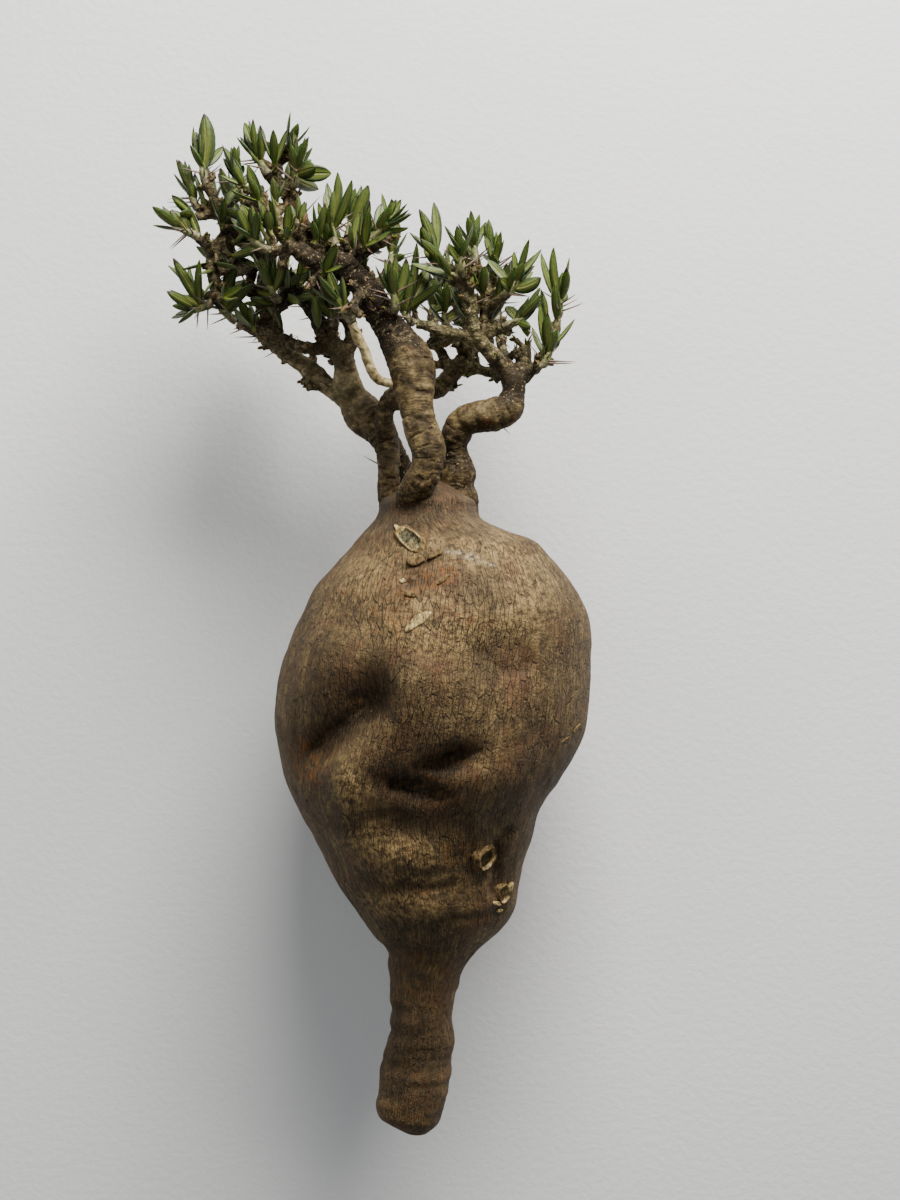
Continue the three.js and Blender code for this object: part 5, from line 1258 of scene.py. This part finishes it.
leafLook = {
    "blade": (0.028, 0.046, 0.008), "rib": (0.22, 0.22, 0.045), "tip": (0.030, 0.016, 0.010),
    "dry": (0.10, 0.050, 0.018), "under": (0.042, 0.062, 0.013),
    # across: a pale midrib band, then painted shade of the fold darkening toward the margins
    "across": [(0.0, (0.105, 0.130, 0.021)), (0.42, (0.105, 0.130, 0.021)), (0.68, (0.028, 0.046, 0.008)),
               (0.95, (0.011, 0.018, 0.005))],
    "noises": {"mottle": (3.0, 4.0, 0.6)},
}


def leafSkin(look):
    leaf = Finish("LeafSkin", look)
    along, tone, side = leaf["along"], leaf["tone"], leaf["leafAcross"].joined("ABSOLUTE")
    uneven = leaf["mottle"] - 0.5
    # pale midrib, and painted shade darkening toward the folded margins
    leaf.colour = ramp(side + uneven * 0.3, look["across"])
    shade = node(leaf.tree, "ShaderNodeClamp", {"Value": (tone - 0.45) * 0.8}).outputs[0]
    leaf.paint(Signal(shade), look["blade"])
    leaf.paint(leaf["leafFace"].shades(0.1, -0.3) * 0.45, look["under"])
    leaf.paint(side.shades(0.0, 0.42).inverse() * along.shades(1.0, 0.25) * 0.6, look["rib"])
    leaf.paint(along.shades(0.3, 0.05) * 0.5, look["rib"])
    leaf.paint((along + tone * 0.1 + uneven * 0.12).shades(0.93, 1.03), look["tip"])
    leaf.paint(tone.shades(0.955, 0.975), look["dry"])
    return leaf.finished({
        "Roughness": 0.45, "Specular IOR Level": 0.3, "Subsurface Weight": 0.12,
        "Subsurface Radius": (0.0012, 0.0022, 0.0006), "Subsurface Scale": 1.0},
        [(side.shades(0.0, 0.2), 0.25), (leaf["mottle"], 0.3)])


shootLook = {
    "old": [(0.36, (0.030, 0.022, 0.010)), (0.5, (0.12, 0.098, 0.042)), (0.68, (0.30, 0.25, 0.13))],
    "green": [(0.34, (0.045, 0.055, 0.015)), (0.5, (0.14, 0.15, 0.04)), (0.7, (0.30, 0.30, 0.11))],
    "noises": {"mottle": (2.2, 5.0, 0.65)},
}


def shootSkin(look):
    skin = Finish("ShootSkin", look)
    old, green = (ramp(skin["mottle"], look[name]) for name in ("old", "green"))
    skin.colour = mixed(skin["along"].shades(0.15, 0.6), old, green)
    return skin.finished({"Roughness": 0.6}, [(skin["mottle"], 0.6)])


spineLook = {
    "pale": [(0.35, (0.085, 0.050, 0.034)), (0.65, (0.21, 0.140, 0.095))], "tip": (0.035, 0.018, 0.016),
    "noises": {"tint": (2.0, 3.0)},
}


def spineHorn(look):
    horn = Finish("SpineHorn", look)
    horn.colour = ramp(horn["tint"], look["pale"])
    horn.paint(horn["along"].shades(0.45, 1.0), look["tip"])
    return horn.finished({"Roughness": 0.5})


# stems

woodFinish = {
    "step": 1.1, "sides": 18, "voxel": 0.55, "thinnest": 0.8, "ringSpacing": 3.4, "ringDepth": 0.035,
    "knobSpacing": 2.3, "knobTurn": 137.5, "knobSize": 0.30, "knobBase": 0.45, "knobLargest": 1.35,
    "knobSunk": 0.74, "knobVary": (0.55, 1.35), "flake": 0.24, "flakeSize": 1.7, "groove": 0.3,
    "grooveWidth": 0.13, "lump": 1.0, "lumpSize": 2.9, "lumpMiddle": 0.55, "smoothLump": 0.1, "swell": 0.35,
    "flare": 1.1, "flareTop": (96, 85), "flareFoot": (75, 82), "thick": (2.6, 5.5), "upper": (130, 150),
    "quiet": 0.75, "bandPlace": 0.76, "bandWidth": 0.1, "seed": 7, "batch": 3000, "nextBranch": 40,
    "old": (2.4, 5.6), "coarse": (2.8, 5.2), "pit": (0.3, 0.04), "knobPaleAndLit": (0.15, 0.8), "ring": (-0.2, 0.35),
    "band": (0.0, 0.5), "darkAndShade": (0.12, 0.6), "wornAndLit": (0.1, 0.7), "foot": (95, 83),
    "rough": {"front_stem": 1.0, "left_stem": 0.85, "right_stem": 0.5, "pale_twig": 0.3},
}
shredFinish = {
    "count": 5, "length": (4, 8), "width": 1.2, "spread": 35, "baseCount": 3, "baseRun": 13,
    "spurCount": 2, "endRun": 1.5, "spurRun": 0.8, "curl": 0.6, "tone": 1.0,
    "onStems": 1.0, "onSpurs": 0.5, "onShoots": 0.9,
}

# darker stretches of wood, dark bark and painted shade where the wood lies in shadow: x, y, z, reach and
# amount
darkAndShadedPlaces = [
  [-14, 142, 86, 8, 0.7], [-20, 151, 86, 11, 1.0], [-27, 160, 88, 11, 1.0], [-34, 169, 90, 10, 0.9],
  [-44, 176, 92, 10, 0.6], [-54, 181, 92, 9, 0.5], [-44, 182, 82, 12, 0.7], [-60, 165, 64, 15, 0.8],
  [-76, 170, 66, 13, 0.6], [-50, 182, 74, 13, 0.6], [-88, 186, 72, 11, 0.5], [-8, 88, 46, 12, 0.9],
  [-16, 100, 50, 10, 0.6], [-43, 146, 50, 8, 0.6], [-52, 160, 62, 12, 0.6], [-64, 173, 66, 12, 0.6],
  [-6, 126, 58, 9, 0.5], [34, 127, 70, 9, 0.85], [30, 136, 70, 7, 0.6], [9, 103, 66, 7, 0.5],
  [20, 114, 70, 9, 0.5], [10, 92, 63, 9, 0.55],
  [-4, 72, 66, 9, 0.5], [-3, 90, 90, 4, 0.25], [-24, 104, 56, 9, 0.5], [-17, 128, 84, 7, 0.3]]
# lighter stretches, worn bark and painted light on wood that lies in shade, in the same way
wornAndLitPlaces = [
  [-56, 134, 48, 20, 1.0], [-76, 148, 52, 14, 0.8], [18, 148, 68, 14, 0.5], [12, 160, 72, 14, 0.45],
  [-6, 112, 88, 6, 0.3], [-12, 132, 86, 7, 0.4]]


def smoothRun(path, step):  # the path's points and radii on a smooth curve, and how far along they lie
    p = np.array(path, float)
    p = np.vstack([2 * p[0] - p[1], p, 2 * p[-1] - p[-2]])
    p[0, 3], p[-1, 3] = p[1, 3], p[-2, 3]
    rows = []
    for i in range(1, len(p) - 2):
        count = max(int(np.linalg.norm(p[i + 1, :3] - p[i, :3]) / step), 1)
        t = (np.arange(count) / count)[:, None]
        rows.append(0.5 * (2 * p[i] + (p[i + 1] - p[i - 1]) * t
                           + (2 * p[i - 1] - 5 * p[i] + 4 * p[i + 1] - p[i + 2]) * t ** 2
                           + (3 * p[i] - p[i - 1] - 3 * p[i + 1] + p[i + 2]) * t ** 3))
    run = np.vstack(rows + [p[-2:-1]])
    along = np.append(0, np.cumsum(np.linalg.norm(np.diff(run[:, :3], axis=0), axis=1)))
    return run[:, :3], np.maximum(run[:, 3], woodFinish["thinnest"]), along


def circleCurve(tree, sides):
    inputs = {"Resolution": sides, "Radius": 1.0}
    return node(tree, "GeometryNodeCurvePrimitiveCircle", inputs).outputs[0]


def sweep(tree, curve, profile, size):
    inputs = {"Curve": curve, "Profile Curve": profile, "Scale": size, "Fill Caps": True}
    return node(tree, "GeometryNodeCurveToMesh", inputs).outputs[0]


def buildWoodTree():
    tree, given = geometryTree("WoodTree", {
        "Int": ("Sides", "Seed"), "Material": ("Bark",),
        "Float": ("Knob Spacing", "Knob Turn", "Knob Size", "Knob Base", "Knob Largest", "Knob Sunk")})
    size = Signal(named(tree, "size"))
    curve = node(tree, "GeometryNodeMeshToCurve", {"Mesh": given["Geometry"]}).outputs[0]
    tube = sweep(tree, curve, circleCurve(tree, given["Sides"]), size)
    # knobs in a spiral, sunk in the wood
    stations = node(tree, "GeometryNodeResampleCurve", {"Curve": curve, "Length": given["Knob Spacing"]},
                    mode="LENGTH").outputs[0]
    index, tangent, normal = (node(tree, "GeometryNodeInput" + kind).outputs[0]
                              for kind in ("Index", "Tangent", "Normal"))
    turn = Signal(index) * given["Knob Turn"]
    outward = node(tree, "ShaderNodeVectorRotate",
                   {"Vector": normal, "Axis": tangent, "Angle": turn}).outputs[0]
    offset = node(tree, "ShaderNodeVectorMath", {0: outward, "Scale": size * given["Knob Sunk"]},
                  operation="SCALE").outputs[0]
    moved = node(tree, "GeometryNodeSetPosition", {"Geometry": stations, "Offset": offset}).outputs[0]
    low, high = woodFinish["knobVary"]
    vary = node(tree, "FunctionNodeRandomValue", {2: low, 3: high, "Seed": given["Seed"]},
                data_type="FLOAT").outputs[1]
    grown = size * given["Knob Size"] + given["Knob Base"]
    grown = grown.joined("MINIMUM", given["Knob Largest"]) * vary
    ball = node(tree, "GeometryNodeMeshIcoSphere", {"Radius": 1.0, "Subdivisions": 2}).outputs[0]
    knobs = node(tree, "GeometryNodeInstanceOnPoints",
                 {"Points": moved, "Instance": ball, "Scale": grown}).outputs[0]
    skin = node(tree, "GeometryNodeSetMaterial", {
        "Geometry": joinedGeometry(tree, (knobs, tube)), "Material": given["Bark"]}).outputs[0]
    node(tree, "NodeGroupOutput", {"Geometry": skin})
    return tree


def growWood(stem, tree, bark):
    look, lines, samples = woodFinish, [], []
    rough = look["rough"][stem["name"]]
    for number, path in enumerate([branch["wood"] for branch in stem["branches"]] + stem["spurs"]):
        points, radii, along = smoothRun(path, look["step"])
        wave = along / look["ringSpacing"] * 2 * math.pi + 3 * grain(points, 8, 20 + number)
        rings = np.sin(wave) * grain(points, 6, 40 + number)
        radii = radii * (1 + look["ringDepth"] * rings)
        y = points[:, 1]
        radii += look["flare"] * smoothStep(*look["flareTop"], y) * smoothStep(*look["flareFoot"], y)
        lines.append({"points": points, "size": radii, "along": along, "tone": 0, "kind": 0,
                      "across": np.array([0, 0, 1.0])})
        samples.append(np.column_stack([points, radii, along + look["nextBranch"] * number]))
    values = {
        "Sides": look["sides"], "Seed": look["seed"] + stem["seed"], "Bark": bark,
        "Knob Spacing": look["knobSpacing"] * millimetre, "Knob Turn": math.radians(look["knobTurn"]),
        "Knob Size": look["knobSize"] * rough, "Knob Base": look["knobBase"] * rough * millimetre,
        "Knob Largest": look["knobLargest"] * millimetre, "Knob Sunk": look["knobSunk"]}
    name = stem["name"] + "_wood"
    mesh = growMesh(name, lineMesh(name + "Lines", lines), tree, values, look["voxel"])
    reliefOnWood(mesh, np.vstack(samples), stem["seed"], stem["youth"], rough)
    mesh.materials.clear()
    mesh.materials.append(bark)
    return mesh


def placed(points, places):  # the strongest of the listed places at each point
    amounts = np.zeros(len(points))
    for x, y, z, reach, amount in places:
        gap = np.linalg.norm(points - np.array([x, y, z]), axis=1) / reach
        amounts = np.maximum(amounts, amount * np.exp(-0.5 * gap ** 2))
    return amounts


def reliefOnWood(mesh, samples, seed, youth, rough):
    look = woodFinish
    points = readVectors(mesh.vertices, "co") / millimetre
    normals = readVectors(mesh.vertex_normals, "vector")
    owner, depth = np.zeros(len(points), int), np.zeros(len(points))
    for first in range(0, len(points), look["batch"]):
        part = slice(first, first + look["batch"])
        gaps = np.linalg.norm(points[part, None] - samples[None, :, :3], axis=2) - samples[None, :, 3]
        owner[part], depth[part] = gaps.argmin(1), gaps.min(1)
    radius, along = samples[owner, 3], samples[owner, 4]

    def noise(size, number, octaves=1):
        return grain(points, size, number + seed, octaves)

    thick = smoothStep(*look["thick"], radius)
    phase = (along / look["ringSpacing"] + 0.7 * noise(7, 60)) % 1
    ring = np.exp(-((phase - 0.5) / look["grooveWidth"]) ** 2) * smoothStep(*look["ring"], noise(8, 61))
    nearest, second = cells(points, look["lumpSize"], 65 + seed)
    relief = look["flake"] * noise(look["flakeSize"], 62, 2)
    # darker places hold dark bark and painted shade; worn places hold worn bark and painted light
    tone, wornAndLit = placed(points, darkAndShadedPlaces), placed(points, wornAndLitPlaces)
    upper = smoothStep(*look["upper"], points[:, 1] + 4 * noise(7, 69))
    calm = thick * (1 - look["quiet"] * np.maximum(tone, upper))
    lump = look["lump"] + (look["smoothLump"] - look["lump"]) * calm
    relief += (look["lumpMiddle"] - nearest) * lump * rough
    relief += look["swell"] * thick * noise(6, 63, 2)
    relief -= look["groove"] * ring * (0.3 + 0.7 * thick)
    moved = (points + normals * relief[:, None]) * millimetre
    mesh.vertices.foreach_set("co", moved.astype(np.float32).ravel())
    mesh.update()
    band = np.exp(-((phase - look["bandPlace"]) / look["bandWidth"]) ** 2) * thick
    # knob: paler knob bark, with a painted highlight on the raised knob tops
    for name, values in {
            "age": 1 - youth * (1 - smoothStep(*look["old"], radius)),
            "thick": smoothStep(*look["coarse"], radius),
            "pit": smoothStep(*look["pit"], second - nearest) * (1 - look["quiet"] * calm),
            "upper": upper * thick, "knobPaleAndLit": smoothStep(*look["knobPaleAndLit"], depth), "ring": ring,
            "band": band * smoothStep(*look["band"], noise(9, 66, 2)),
            "darkAndShade": smoothStep(*look["darkAndShade"], tone + 0.3 * noise(5, 64, 2)),
            "wornAndLit": smoothStep(*look["wornAndLit"], wornAndLit + 0.25 * noise(6, 67, 2)),
            "foot": smoothStep(*look["foot"], points[:, 1] + 4 * noise(6, 68, 2)) * thick}.items():
        storeValue(mesh, name, values)


# leaves, green shoots and spines

leafFinish = {
    "stations": [0, 0.1, 0.22, 0.36, 0.5, 0.63, 0.75, 0.85, 0.93, 0.975, 1],
    "outline": [0.34, 0.44, 0.68, 0.93, 1.0, 0.98, 0.87, 0.66, 0.4, 0.2, 0.05],
    "lastFrame": 0.98, "points": 8, "fold": 0.42, "foldCurve": 1.4, "thickness": 0.2,
    "shootSides": 9, "shootStep": 0.9, "shootRing": 0.13, "shootRings": 3.1,
    "spineSides": 5, "spineStations": [0, 0.4, 0.75, 1], "spineRadii": [0.5, 0.36, 0.22, 0.05],
    "spineSag": 0.05, "sagWay": (0, -0.3, 1), "driest": 0.94, "middleTone": 0.5,
}


def isKind(tree, kind, number):
    inputs = {"A": kind, "B": float(number), "Epsilon": 0.1}
    return node(tree, "FunctionNodeCompare", inputs, data_type="FLOAT", operation="EQUAL").outputs[0]


def buildSweepTree():
    tree, given = geometryTree("SweepTree", {
        "Int": ("Leaf Points", "Shoot Sides", "Spine Sides"), "Float": ("Leaf Fold", "Leaf Thickness"),
        "Material": ("Leaf Skin", "Shoot Skin", "Spine Horn")})
    size, kind = named(tree, "size"), named(tree, "kind", "INT")
    curve = node(tree, "GeometryNodeMeshToCurve", {"Mesh": given["Geometry"]}).outputs[0]
    curve = node(tree, "GeometryNodeSetCurveNormal",
                 {"Curve": curve, "Normal": named(tree, "across", "FLOAT_VECTOR")}, mode="FREE").outputs[0]
    # a leaf's section: a shallow V, thickest under the midrib
    section = circleCurve(tree, given["Leaf Points"])
    place = node(tree, "GeometryNodeInputPosition").outputs[0]
    x, y = (Signal(output) for output in node(tree, "ShaderNodeSeparateXYZ", {0: place}).outputs[:2])
    for name, value in (("leafAcross", x), ("leafFace", y * -1.0)):
        inputs = {"Geometry": section, "Name": name, "Value": value}
        section = node(tree, "GeometryNodeStoreNamedAttribute", inputs, data_type="FLOAT",
                       domain="POINT").outputs[0]
    lift = x.joined("ABSOLUTE").joined("POWER", leafFinish["foldCurve"]) * given["Leaf Fold"]
    bent = node(tree, "ShaderNodeCombineXYZ", {0: x, 1: y * given["Leaf Thickness"] - lift}).outputs[0]
    section = node(tree, "GeometryNodeSetPosition", {"Geometry": section, "Position": bent}).outputs[0]
    swept = []
    profiles = (section, circleCurve(tree, given["Shoot Sides"]), circleCurve(tree, given["Spine Sides"]))
    for number, profile in enumerate(profiles):
        part = node(tree, "GeometryNodeSeparateGeometry",
                    {"Geometry": curve, "Selection": isKind(tree, kind, number)}, domain="CURVE").outputs[0]
        swept.append(sweep(tree, part, profile, size))
    result = joinedGeometry(tree, swept)
    for number, skin in enumerate(("Leaf Skin", "Shoot Skin", "Spine Horn")):
        inputs = {"Geometry": result, "Selection": isKind(tree, kind, number), "Material": given[skin]}
        result = node(tree, "GeometryNodeSetMaterial", inputs).outputs[0]
    node(tree, "NodeGroupOutput", {"Geometry": result})
    return tree


def leafLine(leaf, tone):
    shares = np.array(leafFinish["stations"])
    frames = [leafFrame(leaf, min(t, leafFinish["lastFrame"]))[0] for t in shares]
    return {"points": ribPoint(leaf, shares), "size": leaf["width"] / 2 * np.array(leafFinish["outline"]),
            "along": shares, "tone": tone, "kind": 0, "across": np.array(frames)}


def spineLine(spine, tone):
    foot, tip = spine
    run = tip - foot
    shares = np.array(leafFinish["spineStations"])
    sag = np.array(leafFinish["sagWay"]) * leafFinish["spineSag"] * np.linalg.norm(run)
    bend = np.outer(4 * shares * (1 - shares), sag)
    return {"points": foot + np.outer(shares, run) + bend, "size": np.array(leafFinish["spineRadii"]),
            "along": shares, "tone": tone, "kind": 2, "across": crossFrame(unit(run))[0]}


def shredLine(foot, along, draw, dry):  # a withered strip of bark or leaf
    u, v = crossFrame(along)
    angle, spread = 2 * math.pi * draw(), math.radians(shredFinish["spread"])
    heading = unit(along + math.tan(spread) * draw() * (u * math.cos(angle) + v * math.sin(angle)))
    length = between(shredFinish["length"], draw()) * dry
    tip = foot + heading * length
    curl = (u * (draw() - 0.5) + v * (draw() - 0.5)) * shredFinish["curl"] * length
    bend = foot + heading * length * 0.5 + curl
    strip = {"root": foot, "bend": bend, "tip": tip, "width": shredFinish["width"] * (0.7 + draw()),
             "across": turned(u, along, 180 * draw())}
    return leafLine(strip, shredFinish["tone"])


def shredsOf(stem):  # round the broken end of every bare branch
    draw, lines = seededDraw(drawSeeds["shred"] + stem["seed"]), []
    for branch in stem["branches"]:
        if "grow" in branch or branch.get("footing"):
            continue
        end, before = (np.array(branch["path"][k][:3], float) for k in (-1, -2))
        along = unit(end - before)
        for _ in range(shredFinish["count"]):
            foot = end - along * (shredFinish["endRun"] + 2 * draw())
            lines.append(shredLine(foot, along, draw, shredFinish["onStems"]))
    for spur in stem["spurs"]:
        end, before = (np.array(spur[k][:3]) for k in (-1, -2))
        along = unit(end - before)
        for _ in range(shredFinish["spurCount"]):
            foot = end - shredFinish["spurRun"] * along
            lines.append(shredLine(foot, along, draw, shredFinish["onSpurs"]))
    return lines


def shootLine(shoot):
    path = np.column_stack([shoot["points"], shoot["radii"]]).tolist()
    points, radii, along = smoothRun(path, leafFinish["shootStep"])
    radii = radii * (1 + leafFinish["shootRing"] * np.sin(along * leafFinish["shootRings"]))
    return {"points": points, "size": radii, "along": along / along[-1], "tone": leafFinish["middleTone"],
            "kind": 1,
            "across": crossFrame(shoot["axis"])[0]}


def sweepLines(name, lines, tree, skins):
    look = leafFinish
    values = {
        "Leaf Points": look["points"], "Leaf Fold": look["fold"], "Leaf Thickness": look["thickness"],
        "Shoot Sides": look["shootSides"], "Spine Sides": look["spineSides"], **skins}
    return growMesh(name, lineMesh(name + "Lines", lines), tree, values)


# making the pieces

barkOfRoot, barkOfStems, barkOfTwig = rootBark(rootLook), stemBark(woodLook), paleBark(paleLook)
woodCut = cutWood(cutLook)
skins = {
    "Leaf Skin": leafSkin(leafLook), "Shoot Skin": shootSkin(shootLook), "Spine Horn": spineHorn(spineLook),
}

rootMesh = buildRoot(rootFinish)
rootMesh.materials.append(barkOfRoot)
rootTree = BVHTree.FromPolygons([v.co for v in rootMesh.vertices], [p.vertices for p in rootMesh.polygons])
stumps = [buildStump(rootTree, number, stump, woodCut) for number, stump in enumerate(rootStumps)]
chips = [buildChip(rootTree, number, chip, woodCut) for number, chip in enumerate(rootChips)]
rootMesh = joinMeshes("caudex_bark", [rootMesh] + stumps + [chip for chip in chips if chip])
addPiece("caudex_bark", rootMesh, "caudex_bark", "caudex")
print("swollen root:", len(rootMesh.polygons), "faces")

sweepTree, woodTree = buildSweepTree(), buildWoodTree()
for stem in stems:
    bark, slot = (barkOfTwig, "pale_bark") if stem["name"] == "pale_twig" else (barkOfStems, "stem_bark")
    parts = [growWood(stem, woodTree, bark)]
    spines = [spineLine(spine, leafFinish["middleTone"]) for spine in stem["spines"]] + shredsOf(stem)
    if spines:
        parts.append(sweepLines(stem["name"] + "_spines", spines, sweepTree, skins))
    mesh = joinMeshes(stem["name"] + "_wood", parts)
    addPiece(stem["name"] + "_wood", mesh, slot, stem["name"])
    print(stem["name"] + ":", len(mesh.polygons), "faces")

leafFaces = 0
for tuft in tufts:
    draw = seededDraw(drawSeeds["tone"] + tuft["number"])
    lines = [shootLine(tuft["shoot"])]
    lines += [leafLine(leaf, leafFinish["driest"] * draw()) for leaf in tuft["leaves"]]
    lines += [spineLine(spine, draw()) for spine in tuft["spines"]]
    for _ in range(shredFinish["baseCount"]):
        bearer = youngWood(tuft["branch"]["path"], shredFinish["baseRun"] * draw())
        lines.append(shredLine(bearer["at"](0), bearer["axis"], draw, shredFinish["onShoots"]))
    mesh = sweepLines(tuft["name"] + "_foliage", lines, sweepTree, skins)
    addPiece(tuft["name"] + "_foliage", mesh, "leaf", tuft["name"])
    leafFaces += len(mesh.polygons)
print("tufts:", len(tufts), "with", leafFaces, "faces")


# floor, light and camera

stageSizes = {
    "floor": 3.0, "cameraAbove": 0.900, "subjectLevel": 0.062, "centre": (0.00672, 0.0378),
    "frameHeight": 0.504, "sensor": 36.0, "air": (0.93, 0.95, 1.0, 1), "airStrength": 0.26,
}
floorLook = {
    "stops": [(0.3, (0.67, 0.675, 0.66)), (0.7, (0.73, 0.73, 0.71))],
    "noises": {"tone": (260, 2.0), "fine": (3.0, 3.0)},
}
# soft lights: name, place, target, size, power and colour
softLights = [
    ("keyLight", (0.26, 1.00, 0.55), (0, 0.06, 0.03), (0.8, 0.6), 46, (1.0, 0.985, 0.95)),
    ("fillLight", (-0.8, 0.3, 1.2), (0, 0.02, 0.05), (1.0, 1.0), 4, (0.95, 0.97, 1.0))]


def plainFloor(look):
    half = stageSizes["floor"] / 2
    mesh = bpy.data.meshes.new("floor")
    corners = [(-half, -half, 0), (half, -half, 0), (half, half, 0), (-half, half, 0)]
    mesh.from_pydata(corners, [], [(0, 1, 2, 3)])
    floor = linked("floor", mesh)
    surface = Finish("PaleFloor", look)
    surface.colour = ramp(surface["tone"], look["stops"])
    mesh.materials.append(surface.finished({"Roughness": 0.85}, [(surface["fine"], 0.25)]))


def softLight(name, place, target, size, power, colour):
    light = bpy.data.lights.new(name, "AREA")
    light.shape = "RECTANGLE"
    light.size, light.size_y = size
    light.energy = power
    light.color = colour
    lamp = linked(name, light)
    lamp.location = place
    lamp.rotation_euler = (Vector(target) - Vector(place)).to_track_quat("-Z", "Y").to_euler()


def overheadCamera():
    data = bpy.data.cameras.new("overhead")
    data.sensor_width = stageSizes["sensor"]
    data.lens = stageSizes["sensor"] * stageSizes["cameraAbove"] / stageSizes["frameHeight"]
    camera = linked("overhead", data)
    camera.location = (*stageSizes["centre"], stageSizes["subjectLevel"] + stageSizes["cameraAbove"])
    bpy.context.scene.camera = camera


plainFloor(floorLook)
for values in softLights:
    softLight(*values)
world = bpy.data.worlds.new("softRoom")
world.use_nodes = True
world.node_tree.nodes["Background"].inputs["Color"].default_value = stageSizes["air"]
world.node_tree.nodes["Background"].inputs["Strength"].default_value = stageSizes["airStrength"]
bpy.context.scene.world = world
overheadCamera()

print("scene ready")
